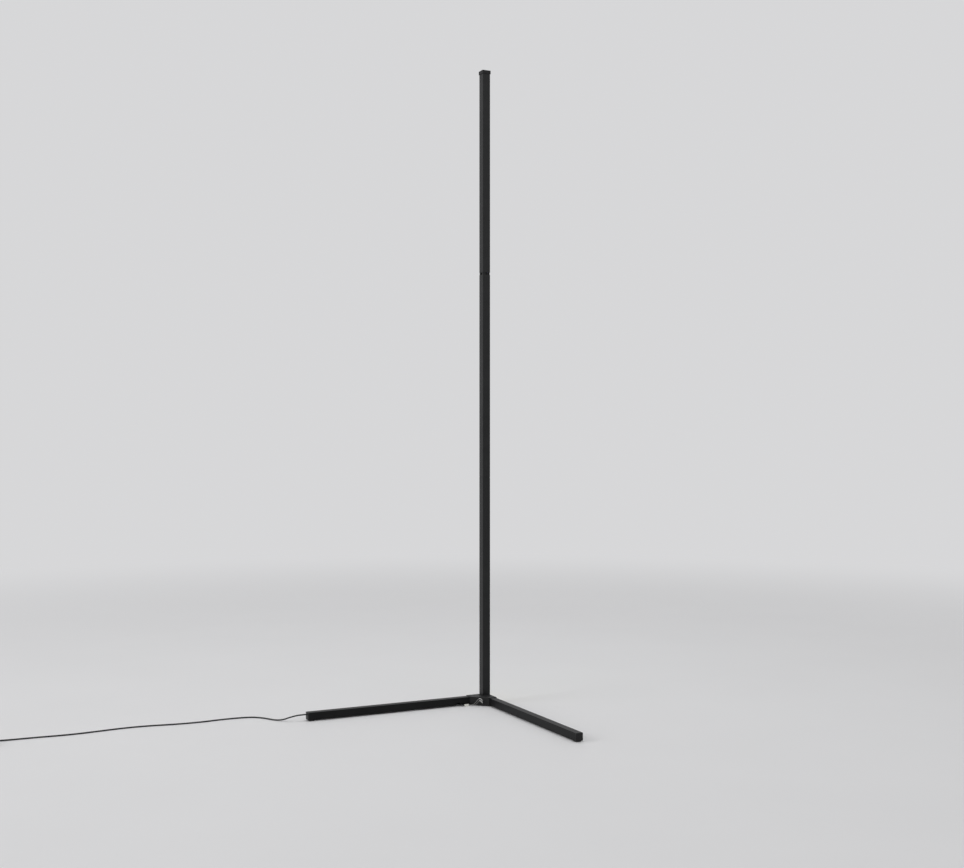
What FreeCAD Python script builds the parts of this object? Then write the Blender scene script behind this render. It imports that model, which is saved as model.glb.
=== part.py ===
import FreeCAD, Part

import math
import os

import Sketcher

# Corner floor lamp: a square pole in three lengths stands on a corner bracket with two legs at a
# right angle. The LED strip and its diffuser face the walls' corner behind it.
# Millimetres. The origin is on the floor under the pole's axis. The left leg runs along -X, the
# right leg along -Y, and the light leaves towards +X +Y.

SIZES = {
    "overall_height": 1400,
    # pole profile
    "pole_side": 18,
    "pole_wall": 1.3,
    "pole_edge": 0.8,
    "cavity_side": 11,
    "web_wall": 1.2,
    "lip_height": 1.5,
    "lip_wall": 1.2,
    "diffuser_wall": 1.2,
    "diffuser_fit": 0.1,
    "diffuser_end_fit": 0.2,
    # pole lengths and joints
    "lower_joint": 500,
    "lower_gap": 0.6,
    "upper_joint": 948,
    "upper_gap": 5,
    "joiner_reach": 26,
    "joiner_fit": 0.15,
    "spigot_reach": 28,
    "collar_inset": 0.5,
    "collar_wall": 2.2,
    "collar_reach": 14.5,
    "collar_lip_reach": 17,
    "window_start": 5.8,
    "window_width": 5,
    "slot_start": 13.2,
    "slot_width": 1.1,
    "window_depth": 2,
    "screw_from_end": 13,
    "screw_bore": 3,
    "screw_fit": 0.05,
    "screw_length": 5,
    # top cap
    "cap_side": 20,
    "cap_height": 7.6,
    "cap_top": 1.6,
    "cap_fit": 0.15,
    "cap_edge": 0.6,
    # legs and bracket
    "leg_span": 412,
    "leg_side": 16,
    "leg_wall": 1.2,
    "leg_edge": 1,
    "leg_fit": 0.1,
    "leg_inner_end": 12.2,
    "leg_end_fit": 0.2,
    "bracket_reach": 41,
    "bracket_wall": 1,
    "bracket_edge": 0.5,
    "chamber_wall": 1.2,
    "plate_thickness": 1.4,
    "plate_inset": 0.4,
    "pad_thickness": 0.6,
    "pad_inset": 2,
    "channel_width": 5,
    "channel_height": 12,
    "channel_bore": 4,
    "lead_hole_bore": 4.6,
    "notch_start": 64,
    "notch_length": 10.5,
    "notch_height": 5,
    # leg ends and feet
    "end_flange": 2,
    "end_plug_depth": 9,
    "end_plug_wall": 1.2,
    "end_edge": 0.6,
    "foot_side": 12,
    "foot_edge": 2,
    "foot_from_end": 9,
    "base_screw_head": 5.2,
    "base_screw_length": 6,
    "leg_screw_first": 22,
    "leg_screw_second": 34,
    "block_screw_side": 5.5,
    "pad_hole": 6.4,
    "cord_hole_height": 13.6,
    "grommet_bore": 4.2,
    "grommet_lip": 4.8,
    "grommet_lip_wall": 0.5,
    # light and electrics
    "strip_width": 8,
    "strip_thickness": 0.4,
    "strip_start": 26,
    "strip_end_gap": 8,
    "chip_side": 5,
    "chip_height": 1.4,
    "chip_pitch": 16.7,
    "board_length": 60,
    "board_width": 11,
    "board_thickness": 1.4,
    "board_end": 90,
    "board_tape": 1.6,
    "capacitor_place": 12,
    "capacitor_diameter": 5,
    "capacitor_height": 5,
    "cord_diameter": 3,
    "lead_diameter": 2,
    "wire_diameter": 1.1,
    "connector_width": 5,
    "connector_height": 4.2,
    "connector_wall": 0.8,
    "lead_plug_length": 4.4,
    "lead_socket_length": 5.6,
    # put-away coil, its tie and the plug
    "coil_pitch": 3.6,
    "coil_inner_radius": 11.5,
    "tie_width": 6,
    "tie_wall": 0.7,
    "tie_fit": 0.3,
    "tail_run": 16,
    "plug_length": 24,
    "plug_width": 15,
    "plug_height": 7.4,
    "plug_edge": 1.6,
    "relief_length": 9,
    "relief_diameter": 5,
    "shell_length": 18,
    "shell_width": 12,
    "shell_height": 4.5,
    "shell_wall": 0.35,
    "shell_seat": 3,
}

# The flat sides of a cord's and a thin wire's section, and how much of a run each arc takes up.
CORD_SIDES = 8
WIRE_SIDES = 6
ARC_SHARE = 0.45
# How far the coil winds in, climbs and winds out again, in turns.
TURNS_IN = 3.25
TURNS_CLIMB = 0.5
TURNS_OUT = 3.5
# Where the tie stands round the coil, in degrees from the coil's start.
TIE_TURN = -135

# The routes of the cords. The power cord's X is counted from the grommet's outer face, and the
# stretch inside the leg has one part counted from there and one from the board's far end.
POWER_CORD_ROUTE = [
    (0.0, 0.0, 13.6),
    (-9.0, 0.0, 13.6),
    (-21.5, 3.0, 12.5),
    (-34.5, 9.6, 8.4),
    (-44.5, 17.6, 3.6),
    (-54.0, 27.0, 1.5),
    (-62.0, 36.5, 1.5),
    (-69.5, 51.5, 1.5),
    (-80.0, 67.5, 1.5),
    (-95.5, 80.0, 1.5),
    (-119.5, 84.0, 1.5),
    (-153.5, 85.5, 1.5),
    (-199.5, 80.0, 1.5),
    (-251.5, 82.5, 1.5),
    (-303.5, 93.0, 1.5),
    (-355.5, 95.5, 1.5),
    (-409.5, 88.0, 1.5),
    (-463.5, 83.0, 1.5),
    (-517.5, 87.5, 1.5),
    (-569.5, 89.5, 1.5),
    (-601.5, 88.0, 2.5),
    (-623.5, 88.8, 2.5),
]
UPPER_WIRE_ROUTE = [
    (-19.2, -28.0, 8.72),
    (-21.2, -31.1, 8.72),
    (-23.2, -34.7, 11.0),
    (-24.9, -36.8, 14.7),
    (-27.3, -36.3, 17.9),
    (-30.4, -33.8, 18.2),
    (-32.6, -31.2, 14.8),
    (-34.9, -27.8, 9.8),
    (-37.4, -22.8, 4.6),
    (-40.2, -18.7, 2.6),
    (-43.6, -16.72, 2.1),
    (-47.0, -16.72, 2.1),
]
LOWER_WIRE_ROUTE = [
    (-19.2, -28.0, 7.28),
    (-21.2, -31.1, 7.28),
    (-23.0, -33.5, 8.1),
    (-24.9, -34.3, 10.9),
    (-27.0, -33.2, 13.2),
    (-29.0, -31.2, 13.0),
    (-30.5, -29.2, 10.2),
    (-32.0, -27.2, 6.8),
    (-33.8, -23.8, 3.6),
    (-36.6, -19.4, 2.3),
    (-40.2, -15.9, 2.0),
    (-43.6, -15.28, 2.1),
    (-47.0, -15.28, 2.1),
]
CONTROLLER_TAIL_ROUTE = [
    (-90.0, 0.0, 5.5),
    (-84.5, 0.0, 5.5),
    (-78.0, -2.4, 5.2),
    (-71.5, -7.4, 4.2),
    (-66.5, -13.2, 2.8),
    (-62.0, -16.0, 2.1),
    (-57.0, -16.0, 2.1),
]
CORD_FROM_GROMMET_ROUTE = [
    (0.0, 0.0, 13.6),
    (18.5, 0.0, 13.6),
    (60.5, -2.2, 9.6),
    (112.5, 1.6, 5.6),
]
CORD_TO_BOARD_ROUTE = [
    (-96.0, -1.4, 5.2),
    (-44.0, 1.0, 5.6),
    (-16.0, 0.0, 5.5),
    (0.0, 0.0, 5.5),
]
POLE_LEAD_INNER_ROUTE = [
    (-0.6, -0.6, 26.0),
    (-0.5, -0.5, 20.0),
    (-0.2, -0.2, 13.0),
    (-4.2, -4.6, 8.2),
    (-11.6, -12.6, 7.6),
    (-15.5, -22.265, 8.0),
    (-19.2, -28.0, 8.0),
]

doc = FreeCAD.newDocument("corner_floor_lamp")
sheet = doc.addObject("Spreadsheet::Sheet", "Sizes")
for row, (alias, value) in enumerate(SIZES.items(), start=1):
    sheet.set(f"A{row}", alias)
    sheet.set(f"B{row}", str(value))
    sheet.setAlias(f"B{row}", alias)
doc.recompute()

# Sizes that follow from the driving ones, written once and used by name in the expressions.
HALF = "Sizes.pole_side / 2"
LEG_BOTTOM = "(Sizes.pad_thickness + Sizes.plate_thickness)"
LEG_MIDDLE = f"({LEG_BOTTOM} + Sizes.leg_side / 2)"
LEG_TOP = f"({LEG_BOTTOM} + Sizes.leg_side)"
BRACKET_TOP = f"({LEG_TOP} + Sizes.leg_fit + Sizes.bracket_wall)"
BRACKET_HALF = "(Sizes.leg_side / 2 + Sizes.leg_fit + Sizes.bracket_wall)"
INNER_CORNER = "(Sizes.pole_wall - Sizes.pole_side / 2)"
# How far the web's front and rear faces stand from the pole's axis, along the diagonal between
# +X and +Y.
WEB_FRONT = f"(2 * {INNER_CORNER} + Sizes.cavity_side) / sqrt(2)"
WEB_REAR = f"({WEB_FRONT} + Sizes.web_wall)"
CAP_UNDERSIDE = "(Sizes.overall_height - Sizes.cap_top)"
DIFFUSER_RADIUS = "(Sizes.pole_side - Sizes.pole_wall - Sizes.lip_wall - 2 * Sizes.diffuser_fit)"

parts = []


def keep(obj, label):
    """Give a finished sub-part the name of its file and list it."""
    obj.Label = label
    parts.append(obj)
    return obj


def bind(obj, **expressions):
    for name, expression in expressions.items():
        obj.setExpression(name, str(expression))
    return obj


def place(obj, x="0", y="0", z="0", turn=0):
    """Put an object at a point of a frame that is turned about the pole's axis."""
    obj.Placement = FreeCAD.Placement(
        FreeCAD.Vector(), FreeCAD.Rotation(FreeCAD.Vector(0, 0, 1), turn)
    )
    obj.setExpression(".Placement.Base.x", f"({x}) * cos({turn}) - ({y}) * sin({turn})")
    obj.setExpression(".Placement.Base.y", f"({x}) * sin({turn}) + ({y}) * cos({turn})")
    obj.setExpression(".Placement.Base.z", str(z))
    return obj


def box(name, x, y, z, length, width, height, turn=0):
    """A block from its lowest corner and its three sizes, all as expressions."""
    obj = doc.addObject("Part::Box", name)
    bind(obj, Length=length, Width=width, Height=height)
    return place(obj, x, y, z, turn)


def cylinder(name, base, axis, radius, height):
    """A round bar along one direction, from the middle of its first face."""
    obj = doc.addObject("Part::Cylinder", name)
    bind(obj, Radius=radius, Height=height)
    obj.Placement = FreeCAD.Placement(
        FreeCAD.Vector(), FreeCAD.Rotation(FreeCAD.Vector(0, 0, 1), FreeCAD.Vector(*axis))
    )
    for letter, expression in zip("xyz", base):
        obj.setExpression(f".Placement.Base.{letter}", str(expression))
    return obj


def cone(name, base, axis, first, second, height):
    obj = doc.addObject("Part::Cone", name)
    bind(obj, Radius1=first, Radius2=second, Height=height)
    obj.Placement = FreeCAD.Placement(
        FreeCAD.Vector(), FreeCAD.Rotation(FreeCAD.Vector(0, 0, 1), FreeCAD.Vector(*axis))
    )
    for letter, expression in zip("xyz", base):
        obj.setExpression(f".Placement.Base.{letter}", str(expression))
    return obj


def cut(name, base, tools):
    """The base with every tool taken out of it."""
    tool = tools[0]
    if len(tools) > 1:
        tool = doc.addObject("Part::MultiFuse", name + "_tools")
        tool.Shapes = tools
    result = doc.addObject("Part::Cut", name)
    result.Base = base
    result.Tool = tool
    return result


def fuse(name, shapes):
    result = doc.addObject("Part::MultiFuse", name)
    result.Shapes = shapes
    result.Refine = True
    return result


def origin_plane(body, role):
    return next(f for f in body.Origin.OriginFeatures if f.Role == role)


def outline(body, name, loops, role="XY_Plane", offset="0"):
    """A sketch of closed loops of straight lines. Each corner is a pair of expressions."""
    sketch = body.newObject("Sketcher::SketchObject", name)
    sketch.AttachmentSupport = [(origin_plane(body, role), "")]
    sketch.MapMode = "FlatFace"
    sketch.setExpression(".AttachmentOffset.Base.z", offset)
    for number, corners in enumerate(loops):
        count = len(corners)
        # A first guess on a circle, which the sketch's own constraints then move.
        spread = 10.0 / (number + 1)
        guess = [
            FreeCAD.Vector(
                spread * math.cos(2 * math.pi * i / count),
                spread * math.sin(2 * math.pi * i / count),
                0,
            )
            for i in range(count)
        ]
        first = sketch.GeometryCount
        for i in range(count):
            sketch.addGeometry(Part.LineSegment(guess[i], guess[(i + 1) % count]), False)
        for i in range(count):
            following = first + (i + 1) % count
            sketch.addConstraint(Sketcher.Constraint("Coincident", first + i, 2, following, 1))
        for i, (x, y) in enumerate(corners):
            for kind, value, start in (("DistanceX", x, guess[i].x), ("DistanceY", y, guess[i].y)):
                index = sketch.addConstraint(
                    Sketcher.Constraint(kind, -1, 1, first + i, 1, start)
                )
                sketch.setExpression(f"Constraints[{index}]", str(value))
    return sketch


def pad(body, sketch, length, name="Pad"):
    feature = body.newObject("PartDesign::Pad", name)
    feature.Profile = sketch
    feature.setExpression("Length", str(length))
    sketch.Visibility = False
    return feature


def pocket(body, sketch, length, name="Pocket", reverse=False):
    feature = body.newObject("PartDesign::Pocket", name)
    feature.Profile = sketch
    feature.Reversed = reverse
    feature.setExpression("Length", str(length))
    return feature


def round_edges(body, feature, chosen, radius, name="Rounding"):
    """Round the straight edges of a feature that a test picks by their two ends."""
    doc.recompute()
    names = []
    for number, edge in enumerate(feature.Shape.Edges, start=1):
        if len(edge.Vertexes) == 2 and chosen(edge.Vertexes[0].Point, edge.Vertexes[1].Point):
            names.append(f"Edge{number}")
    rounding = body.newObject("PartDesign::Fillet", name)
    rounding.Base = (feature, names)
    rounding.setExpression("Radius", str(radius))
    return rounding


def size(alias):
    """A driving size as a number, for the shapes that no expression can drive."""
    return float(sheet.get(alias))


def upright(a, b):
    return abs(a.x - b.x) < 1e-6 and abs(a.y - b.y) < 1e-6


def rectangle(x0, y0, x1, y1):
    return [(x0, y0), (x1, y0), (x1, y1), (x0, y1)]


def along_x(route, distance):
    """The same route, moved along X."""
    return [(x + distance, y, z) for x, y, z in route]


def arc_radii(points):
    """The radius of the arc at each inner point of a route: as large as its two runs allow."""
    radii = []
    for before, point, after in zip(points, points[1:], points[2:]):
        run_in = point - before
        run_out = after - point
        turn = run_in.getAngle(run_out)
        radii.append(ARC_SHARE * min(run_in.Length, run_out.Length) / math.tan(turn / 2))
    return radii


def route_wire(route):
    """A smooth path along a route: straight runs joined by arcs that touch both."""
    points = [FreeCAD.Vector(*p) for p in route]
    edges = []
    start = points[0]
    for before, point, after in zip(points, points[1:], points[2:]):
        run_in = point - before
        run_out = after - point
        setback = ARC_SHARE * min(run_in.Length, run_out.Length)
        turn = run_in.getAngle(run_out)
        way_in = FreeCAD.Vector(run_in).normalize()
        way_out = FreeCAD.Vector(run_out).normalize()
        arc_start = point - way_in * setback
        arc_end = point + way_out * setback
        radius = setback / math.tan(turn / 2)
        inward = (way_out - way_in).normalize()
        centre = point + inward * (radius / math.cos(turn / 2))
        arc_middle = centre - inward * radius
        edges.append(Part.LineSegment(start, arc_start).toShape())
        edges.append(Part.Arc(arc_start, arc_middle, arc_end).toShape())
        start = arc_end
    edges.append(Part.LineSegment(start, points[-1]).toShape())
    return Part.Wire(edges)


def swept(path, start, heading, diameter, sides=CORD_SIDES):
    """A tube of flat sides along a path, from its first point and direction."""
    side = heading.cross(FreeCAD.Vector(0, 0, 1)).normalize()
    up = side.cross(heading).normalize()
    corners = []
    for i in range(sides + 1):
        angle = 2 * math.pi * (i + 0.5) / sides
        corners.append(start + (side * math.cos(angle) + up * math.sin(angle)) * (diameter / 2))
    return path.makePipeShell([Part.makePolygon(corners)], True, False)


def swept_volume(path, diameter, sides=CORD_SIDES):
    """What the tube's volume should be: its section times its length."""
    return sides / 8 * math.sin(2 * math.pi / sides) * diameter**2 * path.Length


def tube(label, route, diameter, sides=CORD_SIDES):
    """A cord's free stretch along its route."""
    start = FreeCAD.Vector(*route[0])
    path = route_wire(route)
    shape = swept(path, start, FreeCAD.Vector(*route[1]) - start, diameter, sides)
    ratio = shape.Volume / swept_volume(path, diameter, sides)
    radii = ", ".join(f"{r:.0f}" for r in arc_radii([FreeCAD.Vector(*p) for p in route]))
    print(f"{label}: length {path.Length:.0f}, volume {ratio:.4f} of section x length")
    print(f"  radii {radii}")
    feature = doc.addObject("Part::Feature", label)
    feature.Shape = shape
    feature.Placement = FreeCAD.Placement()
    return keep(feature, label)


def biarc(p, along_p, q, along_q):
    """Two arcs that leave p along one direction, meet q along another and join smoothly."""
    chord = q - p
    both = along_p + along_q
    a = 2 * (1 - along_p.dot(along_q))
    b = 2 * chord.dot(both)
    c = -chord.dot(chord)
    reach = -c / b if abs(a) < 1e-9 else (-b + math.sqrt(b * b - 4 * a * c)) / (2 * a)
    from_p = p + along_p * reach
    from_q = q - along_q * reach
    joint = (from_p + from_q) * 0.5
    edges = []
    for start, corner, end in ((p, from_p, joint), (joint, from_q, q)):
        way_in = (corner - start).normalize()
        way_out = (end - corner).normalize()
        turn = way_in.getAngle(way_out)
        if turn < 1e-7:
            edges.append(Part.LineSegment(start, end).toShape())
            continue
        inward = (way_out - way_in).normalize()
        radius = (corner - start).Length / math.tan(turn / 2)
        middle = corner + inward * (radius / math.cos(turn / 2) - radius)
        edges.append(Part.Arc(start, middle, end).toShape())
    return edges


# --- pole ----------------------------------------------------------------------------------------

def pole_outline(fit="0"):
    """The front cavity's triangle, drawn in by a clearance."""
    near = f"{INNER_CORNER} + {fit}"
    far = f"{INNER_CORNER} + Sizes.cavity_side - {fit} * (1 + sqrt(2))"
    return [(near, near), (far, near), (near, far)]


def pole_section(label, bottom, top):
    """One length of the pole: two walls, a web across the front corner and two diffuser lips."""
    body = doc.addObject("PartDesign::Body", label + "_body")
    lip_top = f"{INNER_CORNER} + Sizes.lip_height"
    lip_side = f"{HALF} - Sizes.lip_wall"
    web_foot = f"{INNER_CORNER} + Sizes.cavity_side + Sizes.web_wall * sqrt(2)"
    outer = [
        (f"-{HALF}", f"-{HALF}"),
        (HALF, f"-{HALF}"),
        (HALF, lip_top),
        (lip_side, lip_top),
        (lip_side, INNER_CORNER),
        (web_foot, INNER_CORNER),
        (INNER_CORNER, web_foot),
        (INNER_CORNER, lip_side),
        (lip_top, lip_side),
        (lip_top, HALF),
        (f"-{HALF}", HALF),
    ]
    sketch = outline(body, label + "_profile", [outer, pole_outline()], offset=bottom)
    length = pad(body, sketch, f"({top}) - ({bottom})", label + "_length")
    half = size("pole_side") / 2
    corners = {(-half, -half), (half, -half), (-half, half)}
    rounding = round_edges(
        body,
        length,
        lambda a, b: upright(a, b) and (round(a.x, 4), round(a.y, 4)) in corners,
        "Sizes.pole_edge",
        label + "_edges",
    )
    body.Tip = rounding
    return body


def screw_hole(name, height, reach="Sizes.screw_length + 1"):
    """A bore through the web and into what fills the cavity behind it."""
    base = (f"{WEB_REAR} / sqrt(2) + 0.1", f"{WEB_REAR} / sqrt(2) + 0.1", height)
    return cylinder(name, base, (-1, -1, 0), "Sizes.screw_bore / 2", reach)


SCREW_HEIGHTS = {
    "spigot": f"{BRACKET_TOP} + Sizes.screw_from_end",
    "lower_a": "Sizes.lower_joint - Sizes.screw_from_end",
    "lower_b": "Sizes.lower_joint + Sizes.lower_gap + Sizes.screw_from_end",
    "upper_a": "Sizes.upper_joint - Sizes.screw_from_end",
    "upper_b": "Sizes.upper_joint + Sizes.upper_gap + Sizes.screw_from_end",
}
POLE_SECTIONS = {
    "pole_lower": (BRACKET_TOP, "Sizes.lower_joint", ("spigot", "lower_a")),
    "pole_middle": (
        "Sizes.lower_joint + Sizes.lower_gap",
        "Sizes.upper_joint",
        ("lower_b", "upper_a"),
    ),
    "pole_upper": ("Sizes.upper_joint + Sizes.upper_gap", CAP_UNDERSIDE, ("upper_b",)),
}
for label, (bottom, top, screws) in POLE_SECTIONS.items():
    holes = [screw_hole(f"{label}_bore_{s}", SCREW_HEIGHTS[s]) for s in screws]
    keep(cut(label, pole_section(label, bottom, top), holes), label)


def prism(name, bottom, length):
    """A bar that fills the pole's front cavity."""
    body = doc.addObject("PartDesign::Body", name)
    sketch = outline(body, name + "_profile", [pole_outline("Sizes.joiner_fit")], offset=bottom)
    pad(body, sketch, length, name + "_length")
    return body


def joiner(label, joint, gap, screws, recesses=()):
    """A bar inside two lengths of the pole, with a collar that shows in the gap between them.

    Each recess in the collar's two faces is given by where it starts and by its width.
    """
    bar = prism(
        label + "_bar",
        f"{joint} - Sizes.joiner_reach",
        f"2 * Sizes.joiner_reach + {gap}",
    )
    near = f"Sizes.collar_inset - {HALF}"
    inner = f"Sizes.collar_inset + Sizes.collar_wall - {HALF}"
    far = f"Sizes.collar_reach - {HALF}"
    lip = f"Sizes.collar_lip_reach - {HALF}"
    corners = [
        (near, near),
        (lip, near),
        (lip, INNER_CORNER),
        (far, INNER_CORNER),
        (far, inner),
        (inner, inner),
        (inner, far),
        (INNER_CORNER, far),
        (INNER_CORNER, lip),
        (near, lip),
    ]
    collar = doc.addObject("PartDesign::Body", label + "_collar")
    pad(collar, outline(collar, label + "_angle", [corners], offset=joint), gap, label + "_rise")
    tools = [screw_hole(f"{label}_bore_{s}", SCREW_HEIGHTS[s]) for s in screws]
    face = f"-{HALF}"
    for name, start, width in recesses:
        along = f"{start} - {HALF}"
        tools.append(
            box(f"{label}_{name}_front", along, face, joint, width, "Sizes.window_depth", gap)
        )
        tools.append(
            box(f"{label}_{name}_side", face, along, joint, "Sizes.window_depth", width, gap)
        )
    keep(cut(label, fuse(label + "_whole", [bar, collar]), tools), label)


joiner("joiner_lower", "Sizes.lower_joint", "Sizes.lower_gap", ("lower_a", "lower_b"))
joiner(
    "joiner_upper",
    "Sizes.upper_joint",
    "Sizes.upper_gap",
    ("upper_a", "upper_b"),
    [
        ("window", "Sizes.window_start", "Sizes.window_width"),
        ("slot", "Sizes.slot_start", "Sizes.slot_width"),
    ],
)

grub_screws = []
for name, height in SCREW_HEIGHTS.items():
    start = f"({WEB_REAR} - Sizes.screw_fit) / sqrt(2)"
    grub_screws.append(
        cylinder(f"pole_screw_{name}", (start, start, height), (-1, -1, 0),
                 "Sizes.screw_bore / 2 - Sizes.screw_fit", "Sizes.screw_length")
    )
group = doc.addObject("Part::Compound", "pole_screws")
group.Links = grub_screws
keep(group, "pole_screws")

# --- top cap -------------------------------------------------------------------------------------

cap = doc.addObject("PartDesign::Body", "top_cap")
cap_half = "Sizes.cap_side / 2"
cap_bottom = "Sizes.overall_height - Sizes.cap_height"
block = pad(
    cap,
    outline(cap, "cap_outline", [rectangle(f"-{cap_half}", f"-{cap_half}", cap_half, cap_half)],
            offset=cap_bottom),
    "Sizes.cap_height",
    "cap_block",
)
floor_of_cap = size("overall_height") - size("cap_height")
rounding = round_edges(
    cap, block, lambda a, b: max(a.z, b.z) > floor_of_cap + 1e-6, "Sizes.cap_edge", "cap_edges"
)
inside = f"({HALF} + Sizes.cap_fit)"
pocket(
    cap,
    outline(cap, "cap_inside", [rectangle(f"-{inside}", f"-{inside}", inside, inside)],
            offset=cap_bottom),
    "Sizes.cap_height - Sizes.cap_top",
    "cap_hollow",
    reverse=True,
)
keep(cap, "top_cap")

# --- light ---------------------------------------------------------------------------------------

outer_round = doc.addObject("Part::Cylinder", "diffuser_outer")
inner_round = doc.addObject("Part::Cylinder", "diffuser_inner")
diffuser_bottom = f"{BRACKET_TOP} + Sizes.diffuser_end_fit"
diffuser_height = f"{CAP_UNDERSIDE} - {BRACKET_TOP} - 2 * Sizes.diffuser_end_fit"
centre = f"{INNER_CORNER} + Sizes.diffuser_fit"
for round_bar, radius in (
    (outer_round, DIFFUSER_RADIUS),
    (inner_round, f"{DIFFUSER_RADIUS} - Sizes.diffuser_wall"),
):
    round_bar.Angle = 90
    bind(round_bar, Radius=radius, Height=diffuser_height)
    place(round_bar, centre, centre, diffuser_bottom)
keep(cut("diffuser", outer_round, [inner_round]), "diffuser")

strip_top = f"{CAP_UNDERSIDE} - Sizes.strip_end_gap"
strip = box("led_strip", WEB_REAR, "-Sizes.strip_width / 2", "Sizes.strip_start",
            "Sizes.strip_thickness", "Sizes.strip_width", f"{strip_top} - Sizes.strip_start", turn=45)
keep(strip, "led_strip")

# The chips stand on the strip at an even pitch, as many as it has room for.
doc.recompute()
web_rear = (
    2 * (size("pole_wall") - size("pole_side") / 2) + size("cavity_side")
) / math.sqrt(2) + size("web_wall")
chip_face = web_rear + size("strip_thickness")
strip_length = float(strip.Height)
chip_count = int((strip_length - size("chip_side")) // size("chip_pitch")) + 1
margin = (strip_length - (chip_count - 1) * size("chip_pitch") - size("chip_side")) / 2
chips = []
for i in range(chip_count):
    low = size("strip_start") + margin + i * size("chip_pitch")
    chips.append(
        Part.makeBox(
            size("chip_height"),
            size("chip_side"),
            size("chip_side"),
            FreeCAD.Vector(chip_face, -size("chip_side") / 2, low),
        )
    )
led_chips = doc.addObject("Part::Feature", "led_chips")
led_chips.Shape = Part.makeCompound(chips)
led_chips.Placement = FreeCAD.Placement(
    FreeCAD.Vector(), FreeCAD.Rotation(FreeCAD.Vector(0, 0, 1), 45)
)
keep(led_chips, "led_chips")

# --- bracket -------------------------------------------------------------------------------------


def bracket_outline(inset="0"):
    """A square corner with an arm over each leg and a face across them at 45 degrees."""
    half = f"({BRACKET_HALF} - {inset})"
    reach = f"(Sizes.bracket_reach - {inset})"
    return [
        (half, half),
        (f"-{reach}", half),
        (f"-{reach}", f"-{half}"),
        (f"-{half}", f"-{reach}"),
        (half, f"-{reach}"),
    ]


bracket = doc.addObject("PartDesign::Body", "bracket_body")
casting = pad(
    bracket,
    outline(bracket, "bracket_outline", [bracket_outline()], offset=LEG_BOTTOM),
    "Sizes.leg_side + Sizes.leg_fit + Sizes.bracket_wall",
    "bracket_block",
)
plate_top = size("pad_thickness") + size("plate_thickness")
round_edges(
    bracket, casting, lambda a, b: max(a.z, b.z) > plate_top + 1e-6,
    "Sizes.bracket_edge", "bracket_edges",
)
socket_side = "(Sizes.leg_side / 2 + Sizes.leg_fit)"
socket_end = "-(Sizes.leg_inner_end - Sizes.leg_end_fit)"
past_end = "-(Sizes.bracket_reach + 1)"
left_socket = rectangle(past_end, f"-{socket_side}", socket_end, socket_side)
right_socket = rectangle(f"-{socket_side}", past_end, socket_side, socket_end)
chamber_near = "-(Sizes.leg_side / 2 + Sizes.leg_fit + Sizes.chamber_wall)"
chamber_far = (
    f"(Sizes.chamber_wall * sqrt(2) - Sizes.bracket_reach - {BRACKET_HALF} - ({chamber_near}))"
)
chamber = [
    (chamber_near, chamber_near),
    (chamber_far, chamber_near),
    (chamber_near, chamber_far),
]
for name, loop in (("left", left_socket), ("right", right_socket), ("chamber", chamber)):
    pocket(
        bracket,
        outline(bracket, f"bracket_{name}_outline", [loop], offset=LEG_BOTTOM),
        "Sizes.leg_side + Sizes.leg_fit",
        f"bracket_{name}_hollow",
        reverse=True,
    )
pad(
    bracket,
    outline(bracket, "spigot_profile", [pole_outline("Sizes.joiner_fit")], offset=BRACKET_TOP),
    "Sizes.spigot_reach",
    "spigot",
)

# Where the base screws stand, each in the frame of the leg or block that it holds.
BASE_SCREWS = {
    "left_a": ("-Sizes.leg_screw_first", "0", 0),
    "left_b": ("-Sizes.leg_screw_second", "0", 0),
    "right_a": ("-Sizes.leg_screw_first", "0", 90),
    "right_b": ("-Sizes.leg_screw_second", "0", 90),
    "block_a": ("0", "Sizes.block_screw_side", 45),
    "block_b": ("0", "-Sizes.block_screw_side", 45),
}


def base_screw_part(name, kind, growth):
    """A screw's shank and countersunk head, or with a growth the hole that takes it."""
    x, y, turn = BASE_SCREWS[name]
    shank = doc.addObject("Part::Cylinder", f"base_{kind}_{name}_shank")
    head = doc.addObject("Part::Cone", f"base_{kind}_{name}_head")
    radius = f"Sizes.screw_bore / 2 - Sizes.screw_fit + {growth}"
    bind(shank, Radius=radius, Height=f"Sizes.base_screw_length + {growth}")
    bind(
        head,
        Radius1=f"Sizes.base_screw_head / 2 + {growth}",
        Radius2=radius,
        Height="Sizes.plate_thickness",
    )
    for piece in (shank, head):
        place(piece, x, y, "Sizes.pad_thickness", turn)
    return fuse(f"base_{kind}_{name}", [shank, head])


SCREW_GROWTH = "Sizes.screw_fit"
lead_x, lead_y, lead_z = POLE_LEAD_INNER_ROUTE[-1]
bracket_tools = [
    box("bracket_channel", f"{chamber_near} * sqrt(2) - Sizes.channel_width",
        "-Sizes.channel_width / 2", LEG_BOTTOM,
        f"1.5 * Sizes.channel_width - {chamber_near} * sqrt(2)", "Sizes.channel_width",
        "Sizes.channel_height", turn=45),
    cylinder("bracket_channel_bore", ("0", "0", LEG_BOTTOM), (0, 0, 1),
             "Sizes.channel_bore / 2", "Sizes.leg_side + Sizes.bracket_wall + 1"),
    cylinder("bracket_lead_hole", (lead_x, lead_y, lead_z), (-1, -1, 0),
             "Sizes.lead_hole_bore / 2", "4 * Sizes.chamber_wall"),
    screw_hole("spigot_bore", SCREW_HEIGHTS["spigot"]),
]
for name in ("block_a", "block_b"):
    bracket_tools.append(base_screw_part(name, "hole", SCREW_GROWTH))
keep(cut("corner_bracket", bracket, bracket_tools), "corner_bracket")

base_screws = doc.addObject("Part::Compound", "base_screws")
base_screws.Links = [base_screw_part(name, "screw", "0") for name in BASE_SCREWS]
keep(base_screws, "base_screws")

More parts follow.
